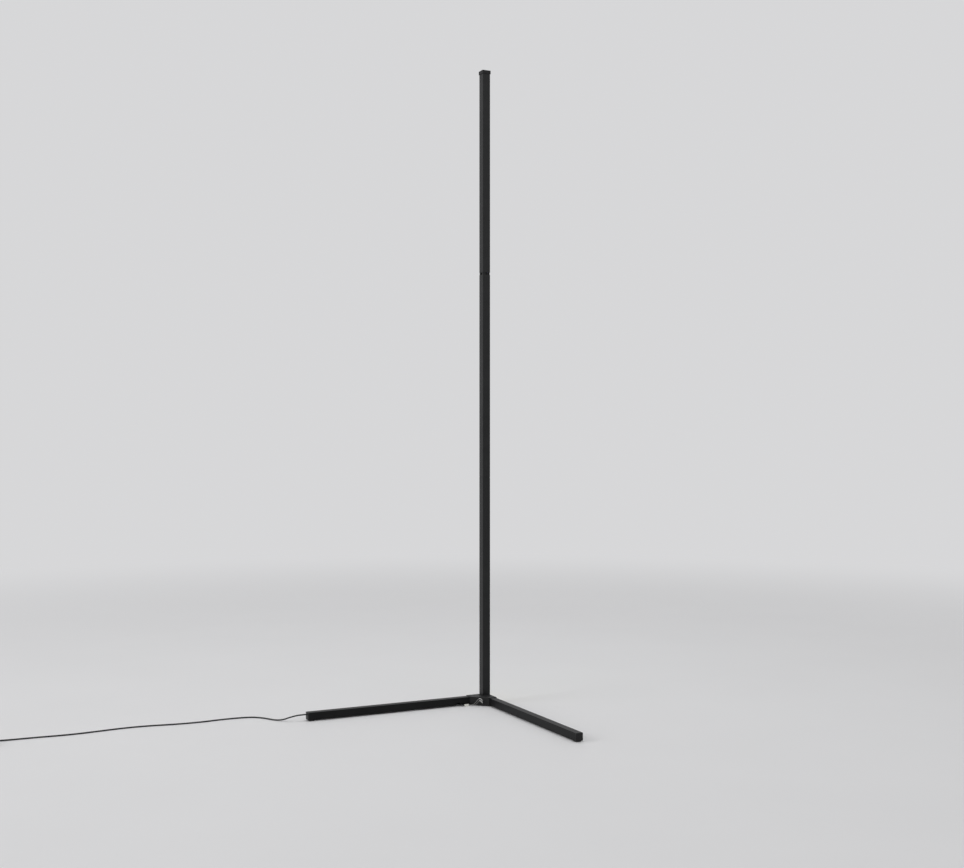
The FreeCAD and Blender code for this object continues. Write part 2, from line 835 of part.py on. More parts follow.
plate = doc.addObject("PartDesign::Body", "plate_body")
pad(
    plate,
    outline(plate, "plate_outline", [bracket_outline("Sizes.plate_inset")],
            offset="Sizes.pad_thickness"),
    "Sizes.plate_thickness",
    "plate_sheet",
)
keep(
    cut("base_plate", plate, [base_screw_part(n, "plate_hole", SCREW_GROWTH) for n in BASE_SCREWS]),
    "base_plate",
)

rubber = doc.addObject("PartDesign::Body", "pad_body")
pad(
    rubber,
    outline(rubber, "pad_outline", [bracket_outline("Sizes.pad_inset")]),
    "Sizes.pad_thickness",
    "pad_sheet",
)
pad_holes = []
for name, (x, y, turn) in BASE_SCREWS.items():
    hole = doc.addObject("Part::Cylinder", f"pad_hole_{name}")
    bind(hole, Radius="Sizes.pad_hole / 2", Height="Sizes.pad_thickness")
    pad_holes.append(place(hole, x, y, "0", turn))
keep(cut("bracket_pad", rubber, pad_holes), "bracket_pad")

# --- legs ----------------------------------------------------------------------------------------


def along_leg(a, b):
    return abs(a.y - b.y) < 1e-6 and abs(a.z - b.z) < 1e-6


def square(side, middle=LEG_MIDDLE):
    return rectangle(f"-({side})", f"{middle} - ({side})", f"({side})", f"{middle} + ({side})")


def leg_tube(name):
    """A square tube from inside the bracket to its end cap, drawn along -X."""
    body = doc.addObject("PartDesign::Body", name + "_body")
    outer = square("Sizes.leg_side / 2")
    inner = square("Sizes.leg_side / 2 - Sizes.leg_wall")
    start = "Sizes.end_flange - Sizes.leg_span"
    profile = outline(body, name + "_profile", [outer, inner], "YZ_Plane", start)
    length = pad(body, profile, f"-Sizes.leg_inner_end - ({start})", name + "_length")
    half = size("leg_side") / 2
    round_edges(
        body, length, lambda a, b: along_leg(a, b) and abs(abs(a.y) - half) < 1e-6,
        "Sizes.leg_edge", name + "_edges",
    )
    return body


def end_cap(name):
    """A moulded cap: a flange flush with the tube, and a hollow plug inside it."""
    body = doc.addObject("PartDesign::Body", name + "_body")
    flange = pad(
        body,
        outline(body, name + "_flange", [square("Sizes.leg_side / 2")], "YZ_Plane",
                "-Sizes.leg_span"),
        "Sizes.end_flange",
        name + "_plate",
    )
    half = size("leg_side") / 2
    along = round_edges(body, flange, along_leg, "Sizes.leg_edge", name + "_corners")
    outer_face = -size("leg_span")
    round_edges(
        body,
        along,
        lambda a, b: abs(a.x - outer_face) < 1e-6 and abs(b.x - outer_face) < 1e-6,
        "Sizes.end_edge",
        name + "_rim",
    )
    plug_half = "Sizes.leg_side / 2 - Sizes.leg_wall - Sizes.leg_fit"
    loops = [square(plug_half), square(f"{plug_half} - Sizes.end_plug_wall")]
    start = "Sizes.end_flange - Sizes.leg_span"
    pad(body, outline(body, name + "_plug", loops, "YZ_Plane", start),
        "Sizes.end_plug_depth", name + "_plug_depth")
    return body


for side, turn in (("left", 0), ("right", 90)):
    tools = [base_screw_part(f"{side}_{n}", "leg_hole", SCREW_GROWTH) for n in "ab"]
    body = leg_tube(side + "_leg")
    body.Placement = FreeCAD.Placement(
        FreeCAD.Vector(), FreeCAD.Rotation(FreeCAD.Vector(0, 0, 1), turn)
    )
    if side == "left":
        tools.append(
            box("lead_notch", "-(Sizes.notch_start + Sizes.notch_length)",
                "-Sizes.leg_side / 2 - 1", f"{LEG_BOTTOM} - 1",
                "Sizes.notch_length", "Sizes.leg_wall + 2", "Sizes.notch_height + 1")
        )
    keep(cut(side + "_leg", body, tools), side + "_leg")

    cap_body = end_cap(side + "_end_cap")
    cap_body.Placement = body.Placement
    if side == "left":
        hole = cylinder("cord_hole", ("-Sizes.leg_span - 1", "0", "Sizes.cord_hole_height"),
                        (1, 0, 0), "Sizes.grommet_bore / 2", "Sizes.end_flange + 2")
        keep(cut("left_end_cap", cap_body, [hole]), "left_end_cap")
    else:
        keep(cap_body, "right_end_cap")

    foot = doc.addObject("PartDesign::Body", side + "_foot")
    middle = "-(Sizes.leg_span - Sizes.foot_from_end)"
    half = "Sizes.foot_side / 2"
    foot_pad = pad(
        foot,
        outline(foot, side + "_foot_outline",
                [rectangle(f"{middle} - {half}", f"-{half}", f"{middle} + {half}", half)]),
        LEG_BOTTOM,
        side + "_foot_block",
    )
    round_edges(foot, foot_pad, upright, "Sizes.foot_edge", side + "_foot_corners")
    foot.Placement = body.Placement
    keep(foot, side + "_leg_foot")

# The grommet lines the left cap's hole and has a thin lip outside it.
sleeve = cylinder("grommet_sleeve", ("-Sizes.leg_span", "0", "Sizes.cord_hole_height"), (1, 0, 0),
                  "Sizes.grommet_bore / 2 - Sizes.screw_fit", "Sizes.end_flange")
lip = cone("grommet_lip_ring",
           ("-Sizes.leg_span - Sizes.grommet_lip_wall", "0", "Sizes.cord_hole_height"), (1, 0, 0),
           "Sizes.grommet_bore / 2", "Sizes.grommet_lip / 2", "Sizes.grommet_lip_wall")
bore = cylinder("grommet_bore_tool", ("-Sizes.leg_span - 1", "0", "Sizes.cord_hole_height"),
                (1, 0, 0), "Sizes.cord_diameter / 2 + Sizes.screw_fit", "Sizes.end_flange + 2")
keep(cut("cord_grommet", fuse("grommet_solid", [sleeve, lip]), [bore]), "cord_grommet")

# --- controller inside the left leg --------------------------------------------------------------

leg_floor = f"({LEG_BOTTOM} + Sizes.leg_wall)"
board_far = "-(Sizes.board_end + Sizes.board_length)"
board_base = f"{leg_floor} + Sizes.board_tape"
tape_side = "(Sizes.board_width - 2)"
keep(
    box("board_tape", board_far, f"-{tape_side} / 2", leg_floor,
        "Sizes.board_length", tape_side, "Sizes.board_tape"),
    "board_tape",
)
keep(
    box("controller_board", board_far, "-Sizes.board_width / 2", board_base,
        "Sizes.board_length", "Sizes.board_width", "Sizes.board_thickness"),
    "controller_board",
)
board_top = f"{board_base} + Sizes.board_thickness"
# The parts on the board: how far along it and from its middle line each starts, and its size.
BOARD_PARTS = {
    "driver_chip": (24, -2, 10, 4, 1.6),
    "receiver_chip": (40, -3.5, 5, 4, 1.8),
    "switch_chip_red": (47, 1, 3, 2.6, 1.1),
    "switch_chip_green": (51, 1, 3, 2.6, 1.1),
    "switch_chip_blue": (55, 1, 3, 2.6, 1.1),
}
components = [
    box(name, f"{board_far} + {along}", across, board_top, length, width, height)
    for name, (along, across, length, width, height) in BOARD_PARTS.items()
]
components.append(
    cylinder("smoothing_capacitor", (f"{board_far} + Sizes.capacitor_place", "0", board_top),
             (0, 0, 1), "Sizes.capacitor_diameter / 2", "Sizes.capacitor_height")
)
group = doc.addObject("Part::Compound", "board_components")
group.Links = components
keep(group, "board_components")

# --- leads and their connector -------------------------------------------------------------------

tube("pole_lead_inner", POLE_LEAD_INNER_ROUTE, size("lead_diameter"))
tube("upper_lead_wire", UPPER_WIRE_ROUTE, size("wire_diameter"), WIRE_SIDES)
tube("lower_lead_wire", LOWER_WIRE_ROUTE, size("wire_diameter"), WIRE_SIDES)
tube("controller_tail", CONTROLLER_TAIL_ROUTE, size("lead_diameter"))
grommet_face = -size("leg_span") - size("grommet_lip_wall")
board_end = -size("board_end") - size("board_length")
cord_in_leg_route = along_x(CORD_FROM_GROMMET_ROUTE, grommet_face)
cord_in_leg_route += along_x(CORD_TO_BOARD_ROUTE, board_end)
tube("cord_in_leg", cord_in_leg_route, size("cord_diameter"))

connector_middle = CONTROLLER_TAIL_ROUTE[-1][1]
plug_face = UPPER_WIRE_ROUTE[-1][0]
nose_length = "Sizes.lead_socket_length / 2"
low_y = f"{connector_middle} - Sizes.connector_width / 2"
plug_start = f"{plug_face} - Sizes.lead_plug_length"
lead_plug_body = box("lead_plug_body", plug_start, low_y, "0",
                     "Sizes.lead_plug_length", "Sizes.connector_width", "Sizes.connector_height")
nose_wall = "Sizes.connector_wall"
lead_plug_nose = box("lead_plug_nose", f"{plug_start} - {nose_length}",
                     f"{low_y} + {nose_wall}", nose_wall, nose_length,
                     f"Sizes.connector_width - 2 * {nose_wall}",
                     f"Sizes.connector_height - 2 * {nose_wall}")
lead_plug_latch = box("lead_plug_latch", f"{plug_start} + {nose_wall}",
                      f"{connector_middle} - {nose_wall}", "Sizes.connector_height",
                      "Sizes.lead_plug_length / 2", f"2 * {nose_wall}", f"{nose_wall} / 2")
keep(fuse("lead_plug", [lead_plug_body, lead_plug_nose, lead_plug_latch]), "lead_plug")
socket_start = f"{plug_start} - Sizes.lead_socket_length"
lead_socket_body = box("lead_socket_body", socket_start, low_y, "0", "Sizes.lead_socket_length",
                       "Sizes.connector_width", "Sizes.connector_height")
fit = "Sizes.leg_fit"
lead_socket_mouth = box("lead_socket_mouth", f"{plug_start} - {nose_length} - {fit}",
                        f"{low_y} + {nose_wall} - {fit}", f"{nose_wall} - {fit}",
                        f"{nose_length} + {fit}",
                        f"Sizes.connector_width - 2 * ({nose_wall} - {fit})",
                        f"Sizes.connector_height - 2 * ({nose_wall} - {fit})")
keep(cut("lead_socket", lead_socket_body, [lead_socket_mouth]), "lead_socket")

# --- power cord, its put-away coil, tie and plug --------------------------------------------------

cord = size("cord_diameter")
power_cord_route = along_x(POWER_CORD_ROUTE, grommet_face)
tube("power_cord", power_cord_route, cord)

coil_start = FreeCAD.Vector(*power_cord_route[-1])
heading = (coil_start - FreeCAD.Vector(*power_cord_route[-2])).normalize()
pitch = size("coil_pitch")
inner = size("coil_inner_radius")
turns = TURNS_IN + TURNS_CLIMB + TURNS_OUT


def coil_radius(turn):
    """The coil winds in, dips a little where it reverses, and winds out again."""
    if turn < TURNS_IN:
        return inner + pitch * (TURNS_IN - turn)
    if turn < TURNS_IN + TURNS_CLIMB:
        part = turn - TURNS_IN
        return inner - pitch * part + pitch * part**2 / TURNS_CLIMB
    return inner + pitch * (turn - TURNS_IN - TURNS_CLIMB)


def coil_rise(turn):
    part = min(max((turn - TURNS_IN) / TURNS_CLIMB, 0), 1)
    return pitch * (1 - math.cos(math.pi * part)) / 2


def coil_point(turn):
    """A point of the coil's middle line about its own axis, wound to the left."""
    angle = 2 * math.pi * turn
    radius = coil_radius(turn)
    return FreeCAD.Vector(radius * math.cos(angle), radius * math.sin(angle), coil_rise(turn))


def coil_heading(turn):
    step = 1e-4
    low = max(turn - step, 0)
    high = min(turn + step, turns)
    return (coil_point(high) - coil_point(low)).normalize()


arcs_per_turn = 4
steps = int(turns * arcs_per_turn)
edges = []
lead_in = coil_point(0) - coil_heading(0) * cord
edges.append(Part.LineSegment(lead_in, coil_point(0)).toShape())
for i in range(steps):
    a = i * turns / steps
    b = (i + 1) * turns / steps
    edges += biarc(coil_point(a), coil_heading(a), coil_point(b), coil_heading(b))
# The last stretch comes down to the height of the plug's middle.
plug_middle = size("plug_height") / 2
drop = coil_start.z + pitch - plug_middle
away = coil_heading(turns)
tail_end = coil_point(turns) + away * size("tail_run") - FreeCAD.Vector(0, 0, drop)
edges += biarc(coil_point(turns), away, tail_end, away)
plug_entry = tail_end + away * cord
edges.append(Part.LineSegment(tail_end, plug_entry).toShape())
coil_path = Part.Wire(edges)
coil_shape = swept(coil_path, lead_in, coil_heading(0), cord)
ratio = coil_shape.Volume / swept_volume(coil_path, cord)
print(f"cord_coil: length {coil_path.Length:.0f}, volume {ratio:.4f} of section x length")

# The least gap between stretches of the coil that are more than half a turn apart.
samples = 60
line = [coil_point(i / samples) for i in range(int(turns * samples) + 1)]
least = min(
    (line[i] - line[j]).Length
    for i in range(len(line))
    for j in range(i + samples // 2, len(line))
)
print(f"cord_coil: least gap to itself {least - cord:.2f}")

# Turn and move the coil so that its first straight stretch carries on from the cord.
coil_turn = math.degrees(math.atan2(heading.y, heading.x)) - math.degrees(
    math.atan2(coil_heading(0).y, coil_heading(0).x)
)
rotation = FreeCAD.Rotation(FreeCAD.Vector(0, 0, 1), coil_turn)
coil_place = FreeCAD.Placement(coil_start - rotation.multVec(lead_in), rotation)
coil = doc.addObject("Part::Feature", "cord_coil")
coil.Shape = coil_shape
coil.Placement = coil_place
keep(coil, "cord_coil")

# The tie goes round the bundle of turns, on the side away from both of the coil's ends.
low = -cord / 2 - size("tie_fit")
tie_near = inner - pitch / 8 - cord / 2 - 2 * size("tie_fit")
tie_low = FreeCAD.Vector(tie_near, -size("tie_width") / 2, low)
tie_reach = inner + pitch * TURNS_OUT + cord / 2 + size("tie_fit") - tie_low.x
tie_rise = pitch + cord + 2 * size("tie_fit")
wall = size("tie_wall")
hollow = Part.makeBox(tie_reach, size("tie_width"), tie_rise, tie_low)
band = Part.makeBox(
    tie_reach + 2 * wall,
    size("tie_width"),
    tie_rise + 2 * wall,
    tie_low - FreeCAD.Vector(wall, 0, wall),
)
tie = doc.addObject("Part::Feature", "coil_tie")
tie.Shape = band.cut(hollow)
tie.Placement = coil_place.multiply(
    FreeCAD.Placement(FreeCAD.Vector(), FreeCAD.Rotation(FreeCAD.Vector(0, 0, 1), TIE_TURN))
)
keep(tie, "coil_tie")

# The plug, drawn along +X from the point where the cord enters it, then set on the coil's end.
relief = cone("plug_relief", ("0", "0", "Sizes.plug_height / 2"), (1, 0, 0),
              "Sizes.cord_diameter / 2 + Sizes.tie_fit", "Sizes.relief_diameter / 2",
              "Sizes.relief_length + Sizes.plug_edge")
grip_block = box("plug_grip_block", "Sizes.relief_length", "-Sizes.plug_width / 2", "0",
                 "Sizes.plug_length", "Sizes.plug_width", "Sizes.plug_height")
doc.recompute()
grip = doc.addObject("Part::Fillet", "plug_grip")
grip.Base = grip_block
edge_radius = min(size("plug_edge"), size("plug_height") / 2.1)
grip.Edges = [(n, edge_radius, edge_radius) for n in range(1, 13)]
shell_low = "(Sizes.plug_height - Sizes.shell_height) / 2"
grip_end = "Sizes.relief_length + Sizes.plug_length"
shell_start = f"{grip_end} - Sizes.shell_seat"
shell_recess = box("shell_recess", shell_start, "-Sizes.shell_width / 2", shell_low,
                   "Sizes.shell_seat", "Sizes.shell_width", "Sizes.shell_height")
plug = cut("power_plug", fuse("plug_solid", [relief, grip]), [shell_recess])

shell_outer = box("shell_outer", shell_start, "-Sizes.shell_width / 2", shell_low,
                  "Sizes.shell_length - Sizes.shell_seat", "Sizes.shell_width",
                  "Sizes.shell_height")
shell_inner = box("shell_inner", f"{shell_start} + 2 * Sizes.shell_wall",
                  "Sizes.shell_wall - Sizes.shell_width / 2", f"{shell_low} + Sizes.shell_wall",
                  "Sizes.shell_length", "Sizes.shell_width - 2 * Sizes.shell_wall",
                  "Sizes.shell_height - 2 * Sizes.shell_wall")
tongue = box("shell_tongue", f"{shell_start} + Sizes.shell_wall",
             "2 * Sizes.shell_wall - Sizes.shell_width / 2", f"{shell_low} + Sizes.shell_wall",
             "Sizes.shell_length - 2 * Sizes.shell_seat",
             "Sizes.shell_width - 4 * Sizes.shell_wall",
             "Sizes.shell_height / 2 - Sizes.shell_wall")
shell = cut("shell_hollow", shell_outer, [shell_inner])
metal = fuse("power_plug_shell", [shell, tongue])

entry = coil_place.multVec(plug_entry)
out = rotation.multVec(away)
plug_place = FreeCAD.Placement(
    FreeCAD.Vector(entry.x, entry.y, 0),
    FreeCAD.Rotation(FreeCAD.Vector(0, 0, 1), math.degrees(math.atan2(out.y, out.x))),
)
for piece, label in ((plug, "power_plug"), (metal, "power_plug_shell")):
    piece.Placement = plug_place
    keep(piece, label)

# --- check and write -----------------------------------------------------------------------------

doc.recompute()
for obj in doc.Objects:
    if "Invalid" in obj.State or "Error" in obj.State:
        raise RuntimeError(f"{obj.Name} failed: {obj.State}")
os.makedirs("parts", exist_ok=True)
for obj in parts:
    shape = obj.Shape
    if shape.isNull() or not shape.isValid() or not shape.Solids:
        raise RuntimeError(f"{obj.Label} has no valid solid")
    shape.exportStep(f"parts/{obj.Label}.step")
    bounds = shape.BoundBox
    print(
        f"{obj.Label}: {len(shape.Solids)} solid(s), volume {shape.Volume:.0f}, "
        f"x {bounds.XMin:.1f} {bounds.XMax:.1f}, y {bounds.YMin:.1f} {bounds.YMax:.1f}, "
        f"z {bounds.ZMin:.1f} {bounds.ZMax:.1f}"
    )
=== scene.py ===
import math

import bmesh
import bpy
from mathutils import Matrix, Vector


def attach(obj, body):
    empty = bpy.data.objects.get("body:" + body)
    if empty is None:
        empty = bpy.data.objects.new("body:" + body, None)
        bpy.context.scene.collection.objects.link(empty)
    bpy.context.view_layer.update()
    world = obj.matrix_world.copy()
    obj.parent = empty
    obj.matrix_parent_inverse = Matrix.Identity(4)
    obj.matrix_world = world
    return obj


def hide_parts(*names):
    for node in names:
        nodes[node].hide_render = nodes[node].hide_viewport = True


# Corner floor lamp, in metres. The pole's axis stands on the origin and the floor is at Z = 0. The
# left leg runs along -X, the right leg along -Y, and the light leaves towards +X +Y.

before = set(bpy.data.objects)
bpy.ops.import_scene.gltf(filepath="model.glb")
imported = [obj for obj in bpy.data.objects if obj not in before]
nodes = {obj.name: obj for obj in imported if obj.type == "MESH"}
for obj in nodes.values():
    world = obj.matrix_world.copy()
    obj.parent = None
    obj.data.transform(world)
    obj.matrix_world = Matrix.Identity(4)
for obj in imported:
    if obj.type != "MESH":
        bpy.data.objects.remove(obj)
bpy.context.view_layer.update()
MM = 0.001

# --- camera -------------------------------------------------------------------------------------

CAMERA_PLACE = Vector((-1.2842, -2.5861, 0.5958))
CAMERA_TURN = math.radians(26.289)
LENS_MM = 48.64
SENSOR_MM = 36

camera_data = bpy.data.cameras.new("camera")
camera_data.lens = LENS_MM
camera_data.sensor_width = SENSOR_MM
camera_data.sensor_fit = "HORIZONTAL"
camera = bpy.data.objects.new("camera", camera_data)
camera.location = CAMERA_PLACE
camera.rotation_euler = (math.pi / 2, 0, -CAMERA_TURN)
bpy.context.scene.collection.objects.link(camera)
bpy.context.scene.camera = camera

# --- sizes that the cords share with the model, in millimetres ----------------------------------

CORD_DIAMETER = 3
LEAD_DIAMETER = 2
WIRE_DIAMETER = 1.1
GROMMET_FACE = -412.5
# How many steps a curve takes from one point of its route to the next.
ROUTE_STEPS = 12
COIL_STEPS = 10
# The power cord's X is counted from the grommet's outer face.
POWER_CORD_ROUTE = [
    (0.0, 0.0, 13.6),
    (-9.0, 0.0, 13.6),
    (-21.5, 3.0, 12.5),
    (-34.5, 9.6, 8.4),
    (-44.5, 17.6, 3.6),
    (-54.0, 27.0, 1.5),
    (-62.0, 36.5, 1.5),
    (-69.5, 51.5, 1.5),
    (-80.0, 67.5, 1.5),
    (-95.5, 80.0, 1.5),
    (-119.5, 84.0, 1.5),
    (-153.5, 85.5, 1.5),
    (-199.5, 80.0, 1.5),
    (-251.5, 82.5, 1.5),
    (-303.5, 93.0, 1.5),
    (-355.5, 95.5, 1.5),
    (-409.5, 88.0, 1.5),
    (-463.5, 83.0, 1.5),
    (-517.5, 87.5, 1.5),
    (-569.5, 89.5, 1.5),
    (-601.5, 88.0, 2.5),
    (-623.5, 88.8, 2.5),
]
UPPER_WIRE_ROUTE = [
    (-19.2, -28.0, 8.72),
    (-21.2, -31.1, 8.72),
    (-23.2, -34.7, 11.0),
    (-24.9, -36.8, 14.7),
    (-27.3, -36.3, 17.9),
    (-30.4, -33.8, 18.2),
    (-32.6, -31.2, 14.8),
    (-34.9, -27.8, 9.8),
    (-37.4, -22.8, 4.6),
    (-40.2, -18.7, 2.6),
    (-43.6, -16.72, 2.1),
    (-47.0, -16.72, 2.1),
]
LOWER_WIRE_ROUTE = [
    (-19.2, -28.0, 7.28),
    (-21.2, -31.1, 7.28),
    (-23.0, -33.5, 8.1),
    (-24.9, -34.3, 10.9),
    (-27.0, -33.2, 13.2),
    (-29.0, -31.2, 13.0),
    (-30.5, -29.2, 10.2),
    (-32.0, -27.2, 6.8),
    (-33.8, -23.8, 3.6),
    (-36.6, -19.4, 2.3),
    (-40.2, -15.9, 2.0),
    (-43.6, -15.28, 2.1),
    (-47.0, -15.28, 2.1),
]
CONTROLLER_TAIL_ROUTE = [
    (-90.0, 0.0, 5.5),
    (-84.5, 0.0, 5.5),
    (-78.0, -2.4, 5.2),
    (-71.5, -7.4, 4.2),
    (-66.5, -13.2, 2.8),
    (-62.0, -16.0, 2.1),
    (-57.0, -16.0, 2.1),
]
POLE_LEAD_INNER_ROUTE = [
    (-0.6, -0.6, 26.0),
    (-0.5, -0.5, 20.0),
    (-0.2, -0.2, 13.0),
    (-4.2, -4.6, 8.2),
    (-11.6, -12.6, 7.6),
    (-15.5, -22.265, 8.0),
    (-19.2, -28.0, 8.0),
]
# The cord inside the left leg, from the grommet to the controller board.
CORD_IN_LEG_ROUTE = [
    (-412.5, 0.0, 13.6),
    (-394.0, 0.0, 13.6),
    (-352.0, -2.2, 9.6),
    (-300.0, 1.6, 5.6),
    (-246.0, -1.4, 5.2),
    (-194.0, 1.0, 5.6),
    (-166.0, 0.0, 5.5),
    (-150.0, 0.0, 5.5),
]
COIL_PITCH = 3.6
COIL_INNER_RADIUS = 11.5
TURNS_IN = 3.25
TURNS_CLIMB = 0.5
TURNS_OUT = 3.5
TAIL_RUN = 16
PLUG_MIDDLE = 3.7
# The connector between the wires and the controller's tail, and the coil's tie.
CONNECTOR_LOW = (-57.0, -18.5, 0.0)
CONNECTOR_SPLIT = -51.4
CONNECTOR_HIGH = (-47.0, -13.5, 4.2)
CONNECTOR_EDGE = 0.35
LATCH_TOP = 4.6
RIB_PITCH = 0.8
TIE_NEAR = 8.95
TIE_FAR = 25.9
TIE_WIDTH = 6
TIE_HEIGHT = 8.6
TIE_WALL = 0.7
TIE_TURN = -135
# The plug, from the point where the cord enters it.
RELIEF_LENGTH = 9
RELIEF_RADIUS = 2.5
GRIP_LENGTH = 24
GRIP_WIDTH = 15
GRIP_HEIGHT = 7.4
SHELL_SEAT = 3
SHELL_LENGTH = 18
SHELL_WIDTH = 12
SHELL_HEIGHT = 4.5
SHELL_WALL = 0.35
# Where the screws come up through the base plate, and their heads.
BASE_SCREWS = [(-22, 0), (-34, 0), (0, -22), (0, -34), (-3.89, 3.89), (3.89, -3.89)]
SCREW_LOW = 0.6
SCREW_HEAD_RADIUS = 2.6
SCREW_HEAD_HEIGHT = 1.4
SCREW_SHANK_RADIUS = 1.45
SCREW_LENGTH = 6


def in_metres(points):
    return [Vector(p) * MM for p in points]


def centreline(name, points, diameter, material, steps):
    """A cord along its route: one open NURBS curve with a round section."""
    data = bpy.data.curves.new(name, "CURVE")
    data.dimensions = "3D"
    data.bevel_depth = diameter / 2
    data.bevel_resolution = 5
    data.use_fill_caps = True
    spline = data.splines.new("NURBS")
    spline.points.add(len(points) - 1)
    for knot, place in zip(spline.points, points):
        knot.co = (*place, 1)
    spline.order_u = 3
    spline.use_endpoint_u = True
    spline.resolution_u = steps
    data.materials.append(material)
    cord = bpy.data.objects.new(name, data)
    bpy.context.scene.collection.objects.link(cord)
    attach(cord, "root")
    return cord


def coil_point(turn):
    """A point of the coil's middle line about its own axis: it winds in, climbs and winds out."""
    if turn < TURNS_IN:
        radius = COIL_INNER_RADIUS + COIL_PITCH * (TURNS_IN - turn)
        rise = 0
    elif turn < TURNS_IN + TURNS_CLIMB:
        part = turn - TURNS_IN
        radius = COIL_INNER_RADIUS - COIL_PITCH * part + COIL_PITCH * part**2 / TURNS_CLIMB
        rise = COIL_PITCH * (1 - math.cos(math.pi * part / TURNS_CLIMB)) / 2
    else:
        radius = COIL_INNER_RADIUS + COIL_PITCH * (turn - TURNS_IN - TURNS_CLIMB)
        rise = COIL_PITCH
    angle = 2 * math.pi * turn
    return Vector((radius * math.cos(angle), radius * math.sin(angle), rise))


def coil_heading(turn, turns):
    step = 1e-3
    ahead = coil_point(min(turn + step, turns))
    return (ahead - coil_point(max(turn - step, 0))).normalized()


def coil_route(start, heading):
    """The coil's points, set so that it carries on from the cord, and how they were set."""
    turns = TURNS_IN + TURNS_CLIMB + TURNS_OUT
    per_turn = 16
    spread = 2 / (1 + math.cos(math.pi / per_turn))
    count = int(turns * per_turn)
    first = coil_heading(0, turns)
    last = coil_heading(turns, turns)
    lead_in = coil_point(0) - first * CORD_DIAMETER
    points = [lead_in]
    for i in range(count + 1):
        place = coil_point(i / per_turn)
        wide = spread if 0 < i < count else 1
        points.append(Vector((place.x * wide, place.y * wide, place.z)))
    drop = start.z + COIL_PITCH - PLUG_MIDDLE
    tail_end = points[-1] + last * TAIL_RUN - Vector((0, 0, drop))
    points += [points[-1] + last * TAIL_RUN / 3, tail_end - last * TAIL_RUN / 3]
    points += [tail_end, tail_end + last * CORD_DIAMETER]
    turn = math.atan2(heading.y, heading.x) - math.atan2(first.y, first.x)
    to_floor = (
        Matrix.Translation(start) @ Matrix.Rotation(turn, 4, "Z") @ Matrix.Translation(-lead_in)
    )
    return [to_floor @ p for p in points], to_floor


# --- materials ----------------------------------------------------------------------------------


def new_group(name, inputs, outputs):
    group = bpy.data.node_groups.new(name, "ShaderNodeTree")
    for socket, kind, value in inputs:
        item = group.interface.new_socket(socket, in_out="INPUT", socket_type=kind)
        if value is not None:
            item.default_value = value
    for socket, kind in outputs:
        group.interface.new_socket(socket, in_out="OUTPUT", socket_type=kind)
    start = group.nodes.new("NodeGroupInput")
    end = group.nodes.new("NodeGroupOutput")
    return group, start, end


def math_node(tree, operation, a, b=None, clamp=False):
    """A Math node whose inputs are numbers or the outputs of other nodes."""
    node = tree.nodes.new("ShaderNodeMath")
    node.operation = operation
    node.use_clamp = clamp
    for socket, value in zip(node.inputs, (a, b)):
        if value is None:
            continue
        if isinstance(value, (int, float)):
            socket.default_value = value
        else:
            tree.links.new(value, socket)
    return node.outputs["Value"]


def noise(tree, vector, scale, detail=2, roughness=0.5):
    node = tree.nodes.new("ShaderNodeTexNoise")
    node.inputs["Detail"].default_value = detail
    node.inputs["Roughness"].default_value = roughness
    tree.links.new(vector, node.inputs["Vector"])
    if isinstance(scale, (int, float)):
        node.inputs["Scale"].default_value = scale
    else:
        tree.links.new(scale, node.inputs["Scale"])
    return node.outputs["Fac"]


def spread_range(tree, value, low, high, to_low=0, to_high=1):
    node = tree.nodes.new("ShaderNodeMapRange")
    node.clamp = True
    tree.links.new(value, node.inputs["Value"])
    sockets = ("From Min", "From Max", "To Min", "To Max")
    for socket, number in zip(sockets, (low, high, to_low, to_high)):
        node.inputs[socket].default_value = number
    return node.outputs["Result"]


def stretched(tree, vector, scale):
    node = tree.nodes.new("ShaderNodeMapping")
    tree.links.new(vector, node.inputs["Vector"])
    node.inputs["Scale"].default_value = scale
    return node.outputs["Vector"]


def make_grain_group():
    """Fine bumps of a coated or moulded surface, as a height."""
    group, start, end = new_group(
        "surface grain",
        [("Vector", "NodeSocketVector", None), ("Scale", "NodeSocketFloat", 900.0)],
        [("Height", "NodeSocketFloat")],
    )
    fine = noise(group, start.outputs["Vector"], start.outputs["Scale"], 3)
    broad_scale = math_node(group, "MULTIPLY", start.outputs["Scale"], 0.22)
    broad = noise(group, start.outputs["Vector"], broad_scale, 1)
    height = math_node(group, "ADD", fine, math_node(group, "MULTIPLY", broad, 0.6))
    group.links.new(height, end.inputs["Height"])
    return group


def make_handling_group():
    """Faint smudges and hair scratches from handling, as two masks."""
    group, start, end = new_group(
        "handling marks",
        [("Vector", "NodeSocketVector", None)],
        [("Smudge", "NodeSocketFloat"), ("Scratch", "NodeSocketFloat")],
    )
    vector = start.outputs["Vector"]
    smudge = spread_range(group, noise(group, vector, 14, 4, 0.6), 0.45, 0.75)
    group.links.new(smudge, end.inputs["Smudge"])
    scratches = None
    for turn, stretch in ((0.5, (260, 260, 9)), (1.9, (190, 14, 190))):
        mapping = group.nodes.new("ShaderNodeMapping")
        mapping.inputs["Rotation"].default_value = (0.35 * turn, 0.2, turn)
        mapping.inputs["Scale"].default_value = stretch
        group.links.new(vector, mapping.inputs["Vector"])
        streak = spread_range(group, noise(group, mapping.outputs["Vector"], 1, 1), 0.72, 0.78)
        scratches = streak if scratches is None else math_node(group, "MAXIMUM", scratches, streak)
    patches = spread_range(group, noise(group, vector, 9, 2), 0.5, 0.62)
    group.links.new(math_node(group, "MULTIPLY", scratches, patches), end.inputs["Scratch"])
    return group


